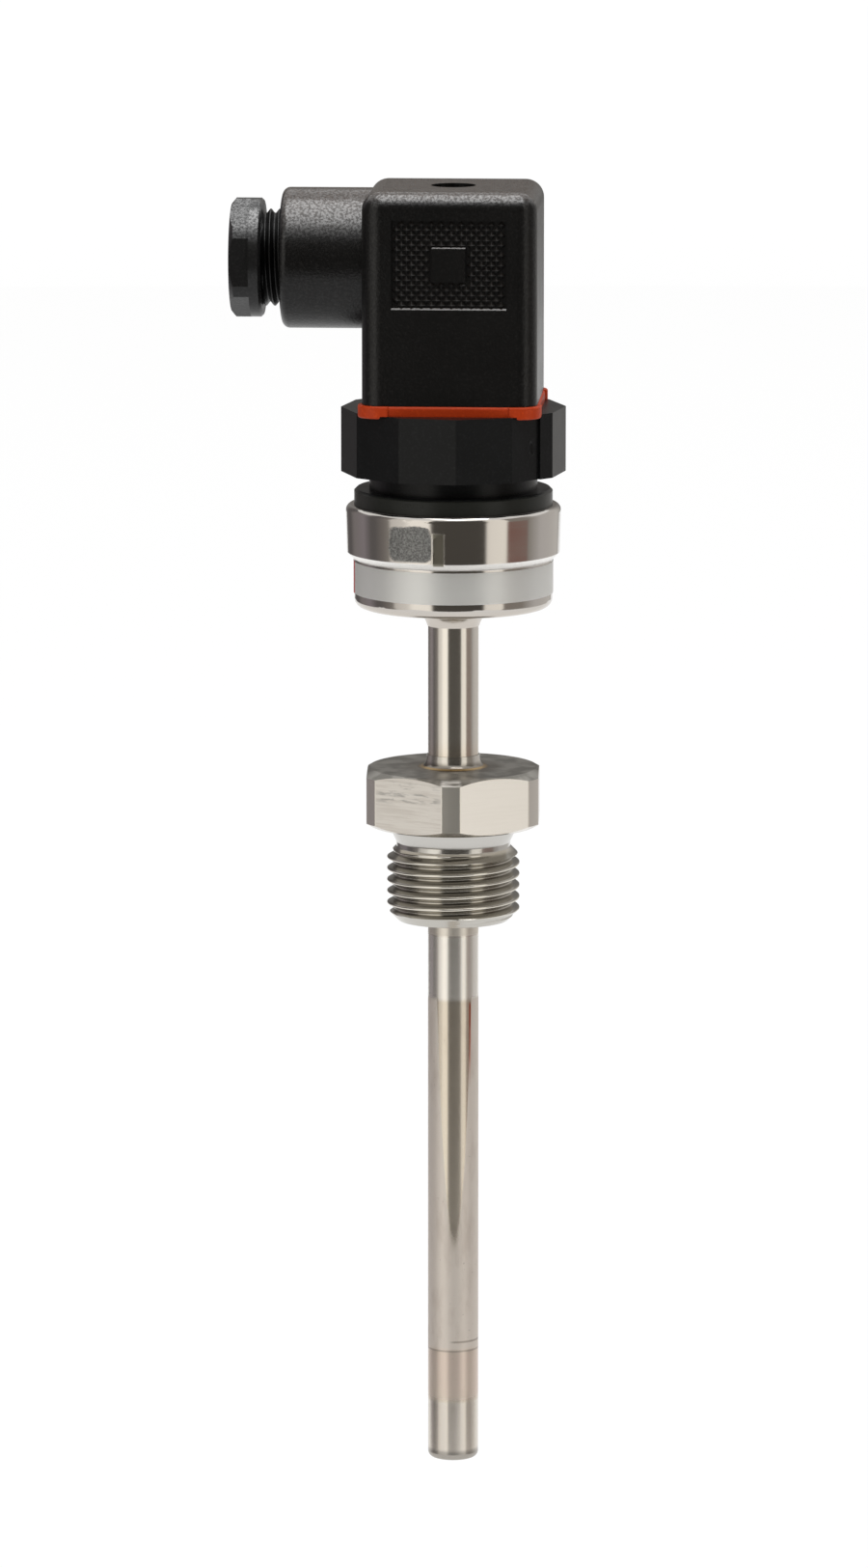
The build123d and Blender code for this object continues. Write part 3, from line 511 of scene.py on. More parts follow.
# Turned and milled fitting: turning lines on the round faces, a milled grain on the flats
# and a golden line at the weld. Painted shade darkens the top, the relief, the chamfer, the
# thread's roots and upward flanks, the top round the neck, the flared foot and the right corner;
# a painted glint lies on the front bevel and the right flats are painted paler. Zones are as
# in the tube's steel, or radii in millimetres, and those called facing are how far the surface
# faces up, 0 to 1.
fittingSteel = {
    "steel": colour(0.60, 0.57, 0.52),
    "flat": colour(0.73, 0.70, 0.655),
    "flatDark": colour(0.56, 0.52, 0.475),
    "flatPale": colour(0.88, 0.85, 0.80),
    "corner": colour(0.79, 0.76, 0.69),
    "scuffed": colour(0.30, 0.295, 0.28),
    "turned": colour(0.33, 0.315, 0.285),
    "turnedTopStreakShade": colour(0.19, 0.18, 0.158),
    "relief": colour(0.55, 0.535, 0.505),
    "threaded": colour(0.68, 0.645, 0.575),
    "flank": colour(0.22, 0.205, 0.178),
    "chamfer": colour(0.51, 0.49, 0.45),
    "sparkle": colour(0.90, 0.885, 0.86),
    "golden": colour(0.50, 0.33, 0.13),
    "brown": colour(0.13, 0.105, 0.08),
    "polish": 0.13,
    "turnedGrain": ((90, 90, 4200), 3, 0.6),
    "milledGrain": ((140, 140, 2600), 3, 0.65),
    "smudgeGrain": ((260, 260, 1500), 3, 0.6),
    "spokeGrain": ((260, 260, 0), 2, 0.5),
    "ringScale": 900.0,
    "topFacing": (0.55, 0.9),
    "topHeight": (5.0, 7.0),
    "bandHeight": (0.3, 8.9, 0.3),
    "bandRadius": (12.9, 13.3),
    "cornerRadius": (14.74, 14.82),
    "litFlatSide": (2, 60, 3.0),
    "shadedCornerSide": (25, 35),
    "scuffHeight": (5.0, 8.3, 0.5),
    "scuffSide": (-50, -6, 4.0),
    "bevelFacing": (0.4, 0.955, 0.02),
    "bevelHeight": (5.0, 9.2, 0.3),
    "glintRadius": (13.1, 13.7),
    "glintSide": (-4.5, 8.0, 1.5),
    "weldHeight": (9.2, 9.42, 0.1),
    "weldRadius": (5.7, 5.2),
    "neckShadeRadius": (5.3, 7.6, 0.9),
    "flareHeight": (10.5, 9.6),
    "flareRadius": (5.9, 5.5),
    "reliefHeight": (-3.5, -0.15, 0.1),
    "threadTop": (-3.6, -4.2),
    "deepRadius": (10.15, 9.5),
    "deepHeight": (-13.5, -4.9, 0.3),
    "flankFacing": (0.25, 0.7),
    "chamferTop": (-13.4, -13.8),
}


def makeFittingSteel(settings):
    material, tree = newTree("fittingSteel", settings)
    x, y, height = tree.spot()
    radius = tree.root(x * x + y * y)
    turn = tree.azimuth(x, y)
    upward = tree.upward()
    lines = tree.grain("turnedGrain")
    rings = tree.node(
        "ShaderNodeTexWave",
        {"wave_type": "RINGS", "rings_direction": "Z"},
        {"Vector": tree.place(), "Scale": settings["ringScale"], "Distortion": 0.6, "Detail": 2.0},
    )
    milled = tree.grain("milledGrain")
    smudge = tree.grain("smudgeGrain")
    spokes = tree.grain("spokeGrain")
    top = tree.zone(upward, "topFacing") * tree.zone(height, "topHeight")
    band = tree.zone(height, "bandHeight") * (1.0 - top) * tree.zone(radius, "bandRadius")
    corner = band * tree.zone(radius, "cornerRadius")
    scuff = tree.rise(smudge, 0.50, 0.64) * tree.zone(height, "scuffHeight")
    scuff = scuff * tree.zone(turn, "scuffSide") * (band - corner)
    bevel = tree.zone(upward, "bevelFacing") * tree.zone(height, "bevelHeight")
    paintedGlint = bevel * tree.zone(radius, "glintRadius") * tree.zone(turn, "glintSide")
    weld = tree.zone(height, "weldHeight") * tree.zone(radius, "weldRadius")
    neckShade = tree.zone(radius, "neckShadeRadius") * top
    flare = tree.zone(height, "flareHeight") * tree.zone(radius, "flareRadius")
    thread = tree.zone(height, "threadTop")
    deep = tree.zone(radius, "deepRadius") * tree.zone(height, "deepHeight")
    flank = thread * tree.zone(upward, "flankFacing")
    turned = tree.mix(tree.rise(spokes, 0.40, 0.62), settings["turned"], settings["turnedTopStreakShade"])
    shade = tree.layers(
        "steel",
        [
            (band, "flat"),
            (band * tree.rise(milled, 0.40, 0.66) * 0.55, "flatDark"),
            # painted reflection: the flats on the right are painted paler; painted shade: the right
            # corner is painted darker
            (band * tree.zone(turn, "litFlatSide") * 0.85, "flatPale"),
            (corner, "corner"),
            (corner * tree.zone(turn, "shadedCornerSide") * 0.8, "flatDark"),
            (scuff * 0.6, "scuffed"),
            # painted shade: the top is painted dark, with painted darker streaks
            (top, turned),
            # painted glint on the front bevel above the corner
            (paintedGlint * tree.rise(milled, 0.35, 0.6), "sparkle"),
            # painted shade: the relief and the chamfer below face down and are painted darker
            (tree.zone(height, "reliefHeight"), "relief"),
            (thread, "threaded"),
            # painted shade in the thread's roots and on its upward flanks
            (deep * 0.5, "flank"),
            (flank * 0.9, "flank"),
            (tree.zone(height, "chamferTop"), "chamfer"),
            # painted shade round the neck on the top and on the flared foot
            (neckShade * 0.5, "brown"),
            (flare * 0.75, "brown"),
            (weld * 0.65, "golden"),
        ],
    )
    rough = settings["polish"] + lines * 0.08 + band * 0.12 + corner * 0.01
    tree.surface(
        {
            "Base Color": shade,
            "Metallic": 1.0,
            "Roughness": rough + top * 0.20 + scuff * 0.15,
            "Normal": tree.bump(lines * 0.002 + rings * top * 0.006 + milled * band * 0.006, 0.8),
        }
    )
    return material


# Polished deep-drawn cup. On its crimped ring a grainy grey patch is a painted reflection where
# a soft box's highlight falls, and a notch has a painted highlight round it and painted shade in
# it.
# The middles and widths of patch and notch are in degrees.
cupSteel = {
    "steel": colour(0.57, 0.54, 0.505),
    "rough": colour(1.0, 0.985, 0.96),
    "reflectionPatchDark": colour(0.036, 0.039, 0.039),
    "reflectionPatchLight": colour(0.225, 0.23, 0.225),
    "golden": colour(0.60, 0.52, 0.43),
    "notchRim": colour(0.86, 0.82, 0.74),
    "notchFloor": colour(0.20, 0.185, 0.14),
    "polish": 0.07,
    "edgeGrain": (420, 3, 0.6),
    "patchGrain": (3600, 2, 0.7),
    "drawnGrain": ((40, 40, 3800), 3, 0.6),
    "smearGrain": ((90, 90, 260), 4, 0.6),
    "ring": (43.8, 49.6, 0.25),
    "shoulder": (42.35, 43.55, 0.12),
    "foot": (36.4, 34.8),
    "patchMiddle": -21.0,
    "patchHalfWidth": 13.0,
    "patchHeight": 46.4,
    "patchHalfHeight": 3.0,
    "notchMiddle": -4.9,
    "notchHalfWidth": 2.75,
    "notchRimWidth": 0.9,
    "notchHeight": (43.2, 48.4, 0.2),
}


def makeCupSteel(settings):
    material, tree = newTree("cupSteel", settings)
    x, y, height = tree.spot()
    turn = tree.azimuth(x, y)
    edge = tree.grain("edgeGrain")
    grain = tree.grain("patchGrain")
    lines = tree.grain("drawnGrain")
    smears = tree.grain("smearGrain")
    shoulder = tree.zone(height, "shoulder")
    foot = tree.zone(height, "foot")
    # The patch is a square with round corners and a ragged edge
    across = (turn - settings["patchMiddle"]) / settings["patchHalfWidth"]
    upwards = (height - settings["patchHeight"]) / settings["patchHalfHeight"]
    across, upwards = across * across, upwards * upwards
    away = across * across + upwards * upwards + (edge - 0.5) * 1.6
    patch = tree.rise(away, 1.15, 0.75) * tree.zone(height, "ring")
    # painted reflection: the patch's grey grain stands where the soft box's highlight falls
    paintedReflection = tree.mix(tree.rise(grain, 0.36, 0.68), settings["reflectionPatchDark"], settings["reflectionPatchLight"])
    off = turn - settings["notchMiddle"]
    half, past = settings["notchHalfWidth"], settings["notchRimWidth"]
    span = tree.zone(height, "notchHeight")
    # painted highlight round the notch and painted shade in it
    notchFloor = tree.within(off, -half, half, 0.35) * span
    notchRim = tree.within(off, -half - past, half + past, 0.25) * span * (1.0 - notchFloor)
    shade = tree.layers(
        "steel",
        [
            # the shoulder is painted paler, partly a painted reflection of the floor below it,
            # partly its rougher grain
            (shoulder * (grain * 0.5 + 0.5), "rough"),
            (patch * 0.85, paintedReflection),
            (foot * 0.3, "golden"),
            (notchRim * 0.8, "notchRim"),
            (notchFloor * 0.85, "notchFloor"),
        ],
    )
    rough = settings["polish"] + smears * 0.06 + patch * (0.30 + grain * 0.25) + foot * 0.1
    rough = rough + notchFloor * 0.2 + notchRim * 0.15 + shoulder * 0.22
    tree.surface(
        {
            "Base Color": shade,
            "Metallic": 1.0 - patch * 0.25,
            "Roughness": rough,
            "Normal": tree.bump(lines * 0.0012 + smears * 0.004 + grain * patch * 0.02, 0.7),
        }
    )
    return material


# Silver foil label, bare but for the red strip at its left end
labelFoil = {
    "foil": colour(0.69, 0.69, 0.67),
    "creased": colour(0.55, 0.55, 0.53),
    "strip": colour(0.45, 0.035, 0.03),
    "stripSide": (-100.0, -76.4, 0.3),
    "polish": 0.33,
    "metallic": 0.45,
    "creaseGrain": ((140, 140, 300), 3, 0.55),
    "fineGrain": (3200, 2, 0.6),
}


def makeLabelFoil(settings):
    material, tree = newTree("labelFoil", settings)
    x, y = tree.spot()[:2]
    crease = tree.grain("creaseGrain")
    grain = tree.grain("fineGrain")
    strip = tree.zone(tree.azimuth(x, y), "stripSide")
    tree.surface(
        {
            "Base Color": tree.layers("foil", [(crease * 0.25, "creased"), (strip, "strip")]),
            "Metallic": (1.0 - strip) * settings["metallic"],
            "Roughness": settings["polish"] + grain * 0.1,
            "Normal": tree.bump(crease * 0.02 + grain * 0.0012, 0.6),
        }
    )
    return material


# Marks on the base: paler flange, plain oval mould mark with ticks, dent in the collar's strip with
# painted shade in it.
# Each function of this kind gives how much paler, how much darker, how high in millimetres
# and how much smoother.
def baseMarks(tree, settings):
    x, y, height = tree.spot()
    along = (tree.azimuth(x, y) - settings["ovalMiddle"]) * settings["millimetresPerDegree"]
    above = height - settings["ovalHeight"]
    beyond = tree.maths("MAXIMUM", tree.absolute(along) - settings["ovalHalfWidth"])
    away = tree.root(beyond * beyond + above * above)
    swing = tree.absolute(tree.maths("SINE", along * settings["ticksRate"]))
    ticks = tree.zone(swing, "ticksShare") * tree.zone(away, "ticksReach")
    mark = (tree.zone(away, "ovalLine") + ticks) * tree.zone(height, "ovalSpan")
    turn = math.radians(settings["dentDegrees"])
    sideways = x * math.cos(turn) + y * math.sin(turn) - settings["dentShift"]
    outward = x * math.sin(turn) - y * math.cos(turn)
    upward = height - settings["dentHeight"]
    narrow, tall = settings["dentStretch"]
    spread = sideways * sideways * narrow + upward * upward * tall
    outside = tree.zone(outward, "dentRadius")
    dent = tree.zone(spread, "dentHollow") * outside
    rim = tree.zone(spread, "dentRim") * outside
    paler = tree.zone(height, "flange") * 0.9 + mark * 0.5
    # painted shade: the dent is darkened
    return paler, dent * 0.8, mark * 0.03 - dent * 0.12 + rim * 0.03, 0.0


# Marks on the plug: brown dust and painted sheen on what faces up, smooth grips, a dark pip on the
# right side
def plugMarks(tree, settings):
    x, y, z = tree.spot()
    # brown dust and painted sheen on what faces up
    dustAndSheen = tree.zone(tree.upward(), "dustFacing") * tree.grain("dustGrain")
    across, above = y - settings["pipPlace"][0], z - settings["pipPlace"][1]
    pip = tree.zone(across * across + above * above, "pipSize") * tree.zone(x, "pipFace")
    grip = tree.zone(tree.absolute(y), "gripFace") * tree.zone(z, "gripHeight")
    grip = grip * tree.zone(tree.absolute(x), "gripEnd")
    return dustAndSheen * 0.9, pip, pip * -0.2, grip * 0.8


# The gland screw's thread stays dark in the nut's shadow
def glandMarks(tree, settings):
    return 0.0, tree.zone(tree.spot()[0], "thread"), 0.0, 0.0


# Moulded plastics, under their slots' names: each has its own colour, grain and shine.
# Their marks' places are in millimetres, and in degrees where the name says so.
plasticFinishes = {
    "base_plastic": {
        "marks": baseMarks,
        "worn": colour(0.020, 0.021, 0.018),
        "colour": colour(0.0048, 0.0050, 0.0053),
        "pale": colour(0.0105, 0.0110, 0.0115),
        "grainScale": 2600,
        "grainHeight": 0.006,
        "cloudScale": 180,
        "polish": 0.25,
        "density": 1.26,
        "flange": (51.0, 53.3, 0.1),
        "ovalMiddle": -21.5,  # degrees
        "millimetresPerDegree": 0.272,
        "ovalHalfWidth": 1.35,
        "ovalHeight": 52.45,
        "ovalLine": (0.42, 0.54, 0.05),
        "ovalSpan": (51.0, 53.4, 0.1),
        "ticksRate": 6.0,
        "ticksShare": (0.80, 0.92),
        "ticksReach": (0.30, 0.22),
        "dentDegrees": 49.4,
        "dentShift": 0.14,
        "dentHeight": 61.2,
        "dentStretch": (2.6, 0.9),
        "dentHollow": (1.0, 0.25),
        "dentRim": (1.0, 1.7, 0.3),
        "dentRadius": (16.0, 16.3),
    },
    "plug_plastic": {
        "marks": plugMarks,
        "worn": colour(0.050, 0.027, 0.014),
        "colour": colour(0.0028, 0.0027, 0.0026),
        "pale": colour(0.0085, 0.0080, 0.0076),
        "grainScale": 2500,
        "grainHeight": 0.065,
        "cloudScale": 120,
        "polish": 0.26,
        "density": 1.32,
        "coat": 1.66,
        "dustFacing": (0.35, 0.95),
        "dustGrain": (1500, 3, 0.7),
        "pipPlace": (3.84, 94.3),
        "pipSize": (0.22, 0.10),
        "pipFace": (13.4, 13.6),
        "gripFace": (13.61, 13.59),
        "gripHeight": (82.5, 97.3, 0.1),
        "gripEnd": (9.6, 9.5),
    },
    "gland_plastic": {
        "marks": glandMarks,
        "worn": colour(0.020, 0.020, 0.020),
        "colour": colour(0.0048, 0.0048, 0.0050),
        "pale": colour(0.0120, 0.0120, 0.0124),
        "grainScale": 2600,
        "grainHeight": 0.035,
        "cloudScale": 200,
        "polish": 0.29,
        "density": 1.34,
        "coat": 1.75,
        "thread": (-29.6, -21.4, 0.1),
    },
    "carrier_plastic": {
        "colour": colour(0.024, 0.024, 0.025),
        "pale": colour(0.045, 0.045, 0.046),
        "grainScale": 2400,
        "grainHeight": 0.006,
        "cloudScale": 200,
        "polish": 0.42,
    },
    "chip_plastic": {
        "colour": colour(0.020, 0.020, 0.021),
        "pale": colour(0.045, 0.045, 0.047),
        "grainScale": 4200,
        "grainHeight": 0.004,
        "cloudScale": 500,
        "polish": 0.50,
    },
    "lead_insulation": {
        "colour": colour(0.72, 0.72, 0.69),
        "pale": colour(0.84, 0.84, 0.81),
        "grainScale": 1200,
        "grainHeight": 0.003,
        "cloudScale": 300,
        "polish": 0.38,
    },
    "element_ceramic": {
        "colour": colour(0.78, 0.76, 0.70),
        "pale": colour(0.88, 0.86, 0.82),
        "grainScale": 5200,
        "grainHeight": 0.008,
        "cloudScale": 700,
        "polish": 0.55,
    },
    "black_rubber": {
        "colour": colour(0.018, 0.018, 0.018),
        "pale": colour(0.034, 0.034, 0.034),
        "grainScale": 1800,
        "grainHeight": 0.006,
        "cloudScale": 260,
        "polish": 0.52,
    },
    "orange_rubber": {
        "colour": colour(0.40, 0.033, 0.002),
        "pale": colour(0.48, 0.046, 0.004),
        "grainScale": 2000,
        "grainHeight": 0.004,
        "cloudScale": 220,
        "polish": 0.42,
        "density": 1.30,
    },
}

# Marks darken to this, and the coat's blur is one for all plastics
deepBlack = colour(0.0008, 0.0008, 0.0008)
coatBlur = 0.22


def makePlastic(name, settings):
    material, tree = newTree(name, settings)
    grain = tree.noise(settings["grainScale"], 2, 0.6)
    cloud = tree.noise(settings["cloudScale"], 3, 0.6)
    shade = tree.layers("colour", [(tree.rise(grain, 0.50, 0.72) * 0.8 + cloud * 0.3, "pale")])
    height = grain * settings["grainHeight"]
    darker = smoother = 0.0
    if "marks" in settings:
        paler, darker, step, smoother = settings["marks"](tree, settings)
        shade = tree.mix(paler, shade, settings["worn"])
        shade = tree.mix(darker, shade, deepBlack)
        height = height * (1.0 - smoother) + step
    values = {
        "Base Color": shade,
        "Roughness": settings["polish"] + cloud * 0.10,
        "IOR": settings.get("density", 1.5),
        "Normal": tree.bump(height, 0.8),
    }
    if "coat" in settings:  # what faces up is shinier, in fine spots
        shine = (tree.rise(tree.upward(), 0.1, 0.6) * 0.85 + 0.1) * (1.0 - darker * 0.9)
        spots = (tree.rise(grain, 0.38, 0.62) * 0.8 + 0.2) * (1.0 - smoother)
        values["Coat Weight"] = shine * (spots + smoother * 0.7)
        values["Coat IOR"] = settings["coat"]
        values["Coat Roughness"] = coatBlur
    tree.surface(values)
    return material


# Bare metals inside the plug, under their slots' names
metalFinishes = {
    "brass": {
        "metal": colour(0.74, 0.55, 0.24),
        "tarnish": colour(0.50, 0.34, 0.14),
        "polish": 0.24,
    },
    "tinned_brass": {
        "metal": colour(0.74, 0.72, 0.66),
        "tarnish": colour(0.55, 0.52, 0.45),
        "polish": 0.28,
    },
    "screw_steel": {
        "metal": colour(0.66, 0.66, 0.67),
        "tarnish": colour(0.48, 0.49, 0.52),
        "polish": 0.22,
    },
}


def makeMetal(name, settings):
    material, tree = newTree(name, settings)
    cloud = tree.noise(380, 4, 0.6)
    lines = tree.noise((400, 400, 3000), 2, 0.6)
    tree.surface(
        {
            "Base Color": tree.layers("metal", [(tree.rise(cloud, 0.42, 0.72), "tarnish")]),
            "Metallic": 1.0,
            "Roughness": settings["polish"] + cloud * 0.14,
            "Normal": tree.bump(lines * 0.002, 0.7),
        }
    )
    return material


# Glass fibre board under green solder mask
boardFinish = {
    "mask": colour(0.02, 0.16, 0.05),
    "track": colour(0.05, 0.27, 0.09),
    "tracks": (420, 420, 1),
    "weave": (1500, 1500, 300),
    "polish": 0.28,
}


def makeBoard(settings):
    material, tree = newTree("solderMask", settings)
    tracks = tree.node(
        "ShaderNodeTexVoronoi",
        {"distance": "MANHATTAN"},
        {"Vector": tree.place(settings["tracks"]), "Scale": 1.0, "Randomness": 0.4},
    )
    weave = tree.noise(settings["weave"], 2, 0.5)
    lines = tree.rise(tracks, 0.46, 0.52)
    tree.surface(
        {
            "Base Color": tree.layers("mask", [(lines, "track")]),
            "Roughness": settings["polish"] + weave * 0.12,
            "Normal": tree.bump(lines * 0.03 + weave * 0.006, 0.8),
        }
    )
    return material


finishes = {
    "tube_steel": makeTubeSteel(tubeSteel),
    "fitting_steel": makeFittingSteel(fittingSteel),
    "cup_steel": makeCupSteel(cupSteel),
    "label_foil": makeLabelFoil(labelFoil),
    "board": makeBoard(boardFinish),
}
for slotName, finish in plasticFinishes.items():
    finishes[slotName] = makePlastic(slotName, finish)
for slotName, finish in metalFinishes.items():
    finishes[slotName] = makeMetal(slotName, finish)


def dressNodes():
    for entry in frame["record"]["subparts"]:
        node = cadNodes[entry["node"]]
        for place in node.material_slots:
            place.material = finishes[entry["material_slot"]]


dressNodes()
print("finishes on the carried-over nodes")


# Points nearer than this are joined, in metres
joinWithin = {"copy": 2e-6, "cut": 5e-6, "thread": 1e-6}


# A copy of a carried-over node, its doubled points joined
def cadCopy(node):
    form = bmesh.new()
    form.from_mesh(cadNodes[node].data)
    bmesh.ops.remove_doubles(form, verts=form.verts, dist=joinWithin["copy"])
    return form


# Cuts a copy off at a plane and closes the cut
def cutCopy(form, point, outward):
    geometry = form.verts[:] + form.edges[:] + form.faces[:]
    cut = bmesh.ops.bisect_plane(
        form, geom=geometry, plane_co=point, plane_no=outward, clear_outer=True
    )
    rim = [item for item in cut["geom_cut"] if isinstance(item, bmesh.types.BMEdge)]
    bmesh.ops.triangle_fill(form, edges=rim, use_beauty=True)
    bmesh.ops.remove_doubles(form, verts=form.verts, dist=joinWithin["cut"])
    bmesh.ops.dissolve_degenerate(form, edges=form.edges, dist=joinWithin["cut"])
    bmesh.ops.recalc_face_normals(form, faces=form.faces)
    markSharp(form, degrees=20)


def limitAt(envelope, height):
    for (low, lowRadius), (high, highRadius) in zip(envelope, envelope[1:]):
        if low <= height <= high:
            share = (height - low) / (high - low)
            return lowRadius + (highRadius - lowRadius) * share
    return envelope[0][1] if height < envelope[0][0] else envelope[-1][1]


# Radius of a rounded thread, at a distance along the axis from a crest's middle
def threadRadius(thread, along):
    half = thread["pitch"] / 2
    away = abs((along + half) % thread["pitch"] - half)
    arc = thread["arcRadius"]
    arcHalf = thread["arcHalfWidth"]
    arcHeight = arc - math.sqrt(arc * arc - arcHalf * arcHalf)
    if away <= arcHalf:
        return thread["radius"] - (arc - math.sqrt(arc * arc - away * away))
    if away >= half - arcHalf:
        back = half - away
        return thread["radius"] - thread["depth"] + (arc - math.sqrt(arc * arc - back * back))
    share = (away - arcHalf) / (half - 2 * arcHalf)
    return thread["radius"] - arcHeight - share * (thread["depth"] - 2 * arcHeight)


def ringPoint(form, radius, angle, along):
    x, y = radius * math.cos(angle), radius * math.sin(angle)
    return form.verts.new((x * mm, y * mm, along * mm))


# A closed threaded sleeve round the z axis, its rows follow the helix
def threadedSleeve(thread):
    low, high = thread["low"], thread["high"]
    columns, perPitch = thread["columns"], thread["rowsPerPitch"]
    rise = thread["pitch"] / perPitch
    first = low - thread["pitch"]
    count = math.ceil((high - first) / rise) + 2
    form = bmesh.new()
    outer = []
    for column in range(columns):
        angle = 2 * math.pi * column / columns
        line = []
        for row in range(count + 1):
            along = first + row * rise + thread["pitch"] * column / columns
            along = min(max(along, low), high)
            crest = thread["crestAt"] + thread["pitch"] * column / columns
            radius = threadRadius(thread, along - crest)
            radius = min(radius, limitAt(thread["envelope"], along))
            line.append(ringPoint(form, radius, angle, along))
        outer.append(line)
    bore = []
    for column in range(columns):
        angle = 2 * math.pi * column / columns
        bore.append([ringPoint(form, radius, angle, along) for along, radius in thread["bore"]])
    for column in range(columns):
        after = (column + 1) % columns
        shift = perPitch if after == 0 else 0
        for row in range(count - shift):
            corners = (
                outer[column][row],
                outer[after][row + shift],
                outer[after][row + 1 + shift],
                outer[column][row + 1],
            )
            form.faces.new(corners)
        for row in range(len(thread["bore"]) - 1):
            corners = (
                bore[column][row + 1],
                bore[after][row + 1],
                bore[after][row],
                bore[column][row],
            )
            form.faces.new(corners)
        for end in (0, -1):
            corners = (outer[column][end], outer[after][end], bore[after][end], bore[column][end])
            form.faces.new(corners)
    bmesh.ops.remove_doubles(form, verts=form.verts, dist=joinWithin["thread"])
    bmesh.ops.dissolve_degenerate(form, edges=form.edges, dist=joinWithin["thread"])
    bmesh.ops.recalc_face_normals(form, faces=form.faces)
    markSharp(form, degrees=50)
    return form


# Joins the second form into the first one
def joinForms(form, other):
    carrier = bpy.data.meshes.new("carrier")
    other.to_mesh(carrier)
    other.free()
    form.from_mesh(carrier)
    bpy.data.meshes.remove(carrier)


# The fitting with its real thread, right-handed, 14 threads per inch
processThread = {
    "radius": 10.4775,
    "depth": 1.162,
    "pitch": 1.8143,
    "arcRadius": 0.2492,
    "arcHalfWidth": 0.221,
    "low": -15.2,
    "high": -3.35,
    "crestAt": -7.07 - 0.5 * 1.8143,
    "columns": 128,
    "rowsPerPitch": 16,
    "envelope": [(-15.2, 8.78), (-13.5, 10.48), (-4.88, 10.48), (-3.4, 9.0), (-3.35, 9.0)],
    "bore": [(-15.2, 3.72), (-5.2, 3.72), (-5.2, 3.0), (-3.35, 3.0)],
}


def makeFitting(settings):
    form = cadCopy("process_fitting")
    cutCopy(form, (0, 0, settings["high"] * mm), (0, 0, -1))
    joinForms(form, threadedSleeve(settings))
    fitting = newPiece("threadedFitting", form)
    fitting.data.materials.append(finishes["fitting_steel"])
    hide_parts("process_fitting")
    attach(fitting, "probe")


makeFitting(processThread)

# The gland screw with its thread, made round z and then laid along -x. Its copy is cut just
# inside the collar, so that the cut and the collar's face don't lie in one plane.
glandThread = {
    "radius": 7.6,
    "depth": 0.67,
    "pitch": 1.411,
    "arcRadius": 0.19,
    "arcHalfWidth": 0.14,
    "low": 21.2,
    "high": 29.7,
    "cutAt": 29.68,
    "crestAt": 28.6,
    "columns": 96,
    "rowsPerPitch": 12,
    "envelope": [(21.2, 6.9), (21.9, 7.6), (29.3, 7.6), (29.7, 7.2)],
    "bore": [(21.2, 4.25), (29.7, 4.25)],
    "axisHeight": 89.55,
}


def makeGlandScrew(settings):
    form = cadCopy("gland_screw")
    cutCopy(form, (-settings["cutAt"] * mm, 0, 0), (1, 0, 0))
    sleeve = threadedSleeve(settings)
    turn = Matrix.Rotation(math.radians(-90), 4, "Y")
    lay = Matrix.Translation((0, 0, settings["axisHeight"] * mm)) @ turn
    bmesh.ops.transform(sleeve, matrix=lay, verts=sleeve.verts)
    joinForms(form, sleeve)
    screw = newPiece("threadedGlandScrew", form)
    screw.data.materials.append(finishes["gland_plastic"])
    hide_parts("gland_screw")
    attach(screw, "gland_nut")


makeGlandScrew(glandThread)
print("threads cut")

# Rows of small diamonds in the plug's two finger grips
gripPattern = {
    "Pitch Across": 1.55,
    "Pitch Down": 0.78,
    "Across": 11,
    "Down": 17,
    "Diamond Radius": 0.66,
    "Diamond Height": 0.40,
    "Top Share": 0.12,
    "Free Half": 3.1,
    "Middle Height": 89.8,
    "Floor Distance": 13.17,
}


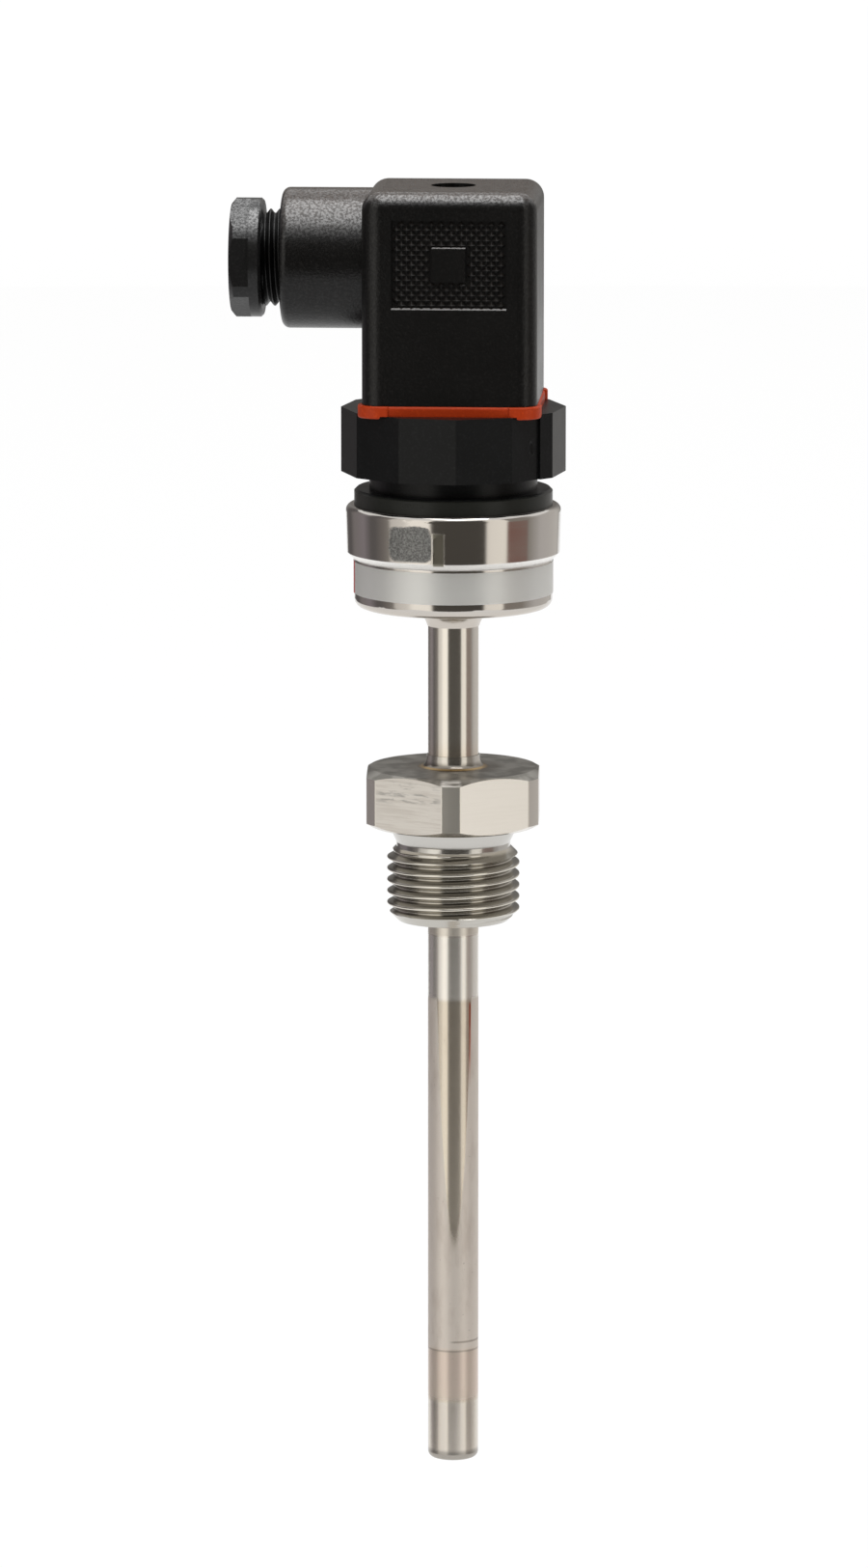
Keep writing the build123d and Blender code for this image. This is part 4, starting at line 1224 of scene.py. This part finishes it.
def makeGrips(settings):
    group = bpy.data.node_groups.new("gripPattern", "GeometryNodeTree")
    group.interface.new_socket("Geometry", in_out="OUTPUT", socket_type="NodeSocketGeometry")
    for name, value in settings.items():
        kind = "NodeSocketInt" if isinstance(value, int) else "NodeSocketFloat"
        socket = group.interface.new_socket(name, in_out="INPUT", socket_type=kind)
        socket.default_value = value
    tree = Tree(group)
    given = tree.node("NodeGroupInput")
    across = given.out("Pitch Across") * mm
    down = given.out("Pitch Down") * mm
    grid = tree.node(
        "GeometryNodeMeshGrid",
        {},
        {
            "Size X": (given.out("Across") - 1) * across,
            "Size Y": (given.out("Down") - 1) * down,
            "Vertices X": given.out("Across"),
            "Vertices Y": given.out("Down"),
        },
    )
    y = tree.axes(tree.node("GeometryNodeInputPosition"))[1]
    row = tree.maths("ROUND", y / down + 20.5)  # the sum keeps the rows above 0
    odd = tree.maths("MODULO", row, 2.0)
    step = tree.node("ShaderNodeCombineXYZ", {}, {"X": (odd - 0.5) * across * 0.5})
    staggered = tree.node("GeometryNodeSetPosition", {}, {"Geometry": grid, "Offset": step})
    x, y = tree.axes(tree.node("GeometryNodeInputPosition"))[:2]
    far = tree.maths("MAXIMUM", tree.absolute(x), tree.absolute(y))
    inside = tree.node(
        "FunctionNodeCompare",
        {"data_type": "FLOAT", "operation": "LESS_THAN"},
        {0: far, 1: given.out("Free Half") * mm},
    )
    kept = tree.node("GeometryNodeDeleteGeometry", {}, {"Geometry": staggered, "Selection": inside})
    diamond = tree.node(
        "GeometryNodeMeshCone",
        {"fill_type": "NGON"},
        {
            "Vertices": 4,
            "Side Segments": 1,
            "Radius Top": given.out("Diamond Radius") * mm * given.out("Top Share"),
            "Radius Bottom": given.out("Diamond Radius") * mm,
            "Depth": given.out("Diamond Height") * mm,
        },
    )
    pair = {"Points": kept, "Instance": diamond}
    spread = tree.node("GeometryNodeInstanceOnPoints", {}, pair)
    away = tree.node(
        "ShaderNodeCombineXYZ",
        {},
        {"Y": given.out("Floor Distance") * -mm, "Z": given.out("Middle Height") * mm},
    )
    front = tree.node(
        "GeometryNodeTransform",
        {},
        {"Geometry": spread, "Translation": away, "Rotation": (math.pi / 2, 0, 0)},
    )
    back = tree.node("GeometryNodeTransform", {}, {"Geometry": front, "Rotation": (0, 0, math.pi)})
    both = tree.node("GeometryNodeJoinGeometry", {}, {0: front})
    group.links.new(back.socket, both.socket.node.inputs[0])
    real = tree.node("GeometryNodeRealizeInstances", {}, {0: both})
    dressed = tree.node(
        "GeometryNodeSetMaterial", {}, {"Geometry": real, "Material": finishes["plug_plastic"]}
    )
    tree.node("NodeGroupOutput", {}, {0: dressed})
    holder = bpy.data.objects.new("gripHolder", bpy.data.meshes.new("gripHolder"))
    bpy.context.scene.collection.objects.link(holder)
    modifier = holder.modifiers.new("grips", "NODES")
    modifier.node_group = group
    for item in group.interface.items_tree:
        if item.in_out == "INPUT":
            modifier[item.identifier] = settings[item.name]
    shown = holder.evaluated_get(bpy.context.evaluated_depsgraph_get())
    mesh = bpy.data.meshes.new_from_object(shown)
    mesh.name = "gripDiamonds"
    bpy.data.objects.remove(holder)
    grips = bpy.data.objects.new("gripDiamonds", mesh)
    bpy.context.scene.collection.objects.link(grips)
    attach(grips, "plug")
    print("grip diamonds:", len(mesh.polygons), "faces")


makeGrips(gripPattern)

# Slim sloped edges that catch the top light: below each grip and round its free square.
# Each edge has its two ends, its height or its side place, and its width.
gripEdges = {
    "face": 13.63,
    "floor": 13.13,
    "level": [(-8.95, 8.95, 82.90, 0.26), (-2.6, 2.6, 92.44, 0.18)],
    "upright": [(87.24, 92.40, -2.60, 0.28)],
}


# A prism between two like outlines, given in millimetres
def addPrism(form, outlines):
    rows = []
    for outline in outlines:
        rows.append([form.verts.new([value * mm for value in corner]) for corner in outline])
    for row in rows:
        form.faces.new(row)
    count = len(rows[0])
    for index in range(count):
        after = (index + 1) % count
        form.faces.new((rows[0][index], rows[0][after], rows[1][after], rows[1][index]))


def makeGripEdges(settings):
    form = bmesh.new()
    face, floor = settings["face"], settings["floor"]
    for side in (-1, 1):
        for start, end, low, width in settings["level"]:
            high = low + width
            section = [(-face, low), (-floor, low), (-floor, high), (width - face, high)]
            addPrism(form, [[(x * -side, y * -side, z) for y, z in section] for x in (start, end)])
        for start, end, place, width in settings["upright"]:
            past = place - width
            section = [(place, -face), (place, -floor), (past, -floor), (past, width - face)]
            addPrism(form, [[(x * -side, y * -side, z) for x, y in section] for z in (start, end)])
    bmesh.ops.recalc_face_normals(form, faces=form.faces)
    edges = newPiece("gripEdges", form)
    edges.data.materials.append(finishes["plug_plastic"])
    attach(edges, "plug")


makeGripEdges(gripEdges)
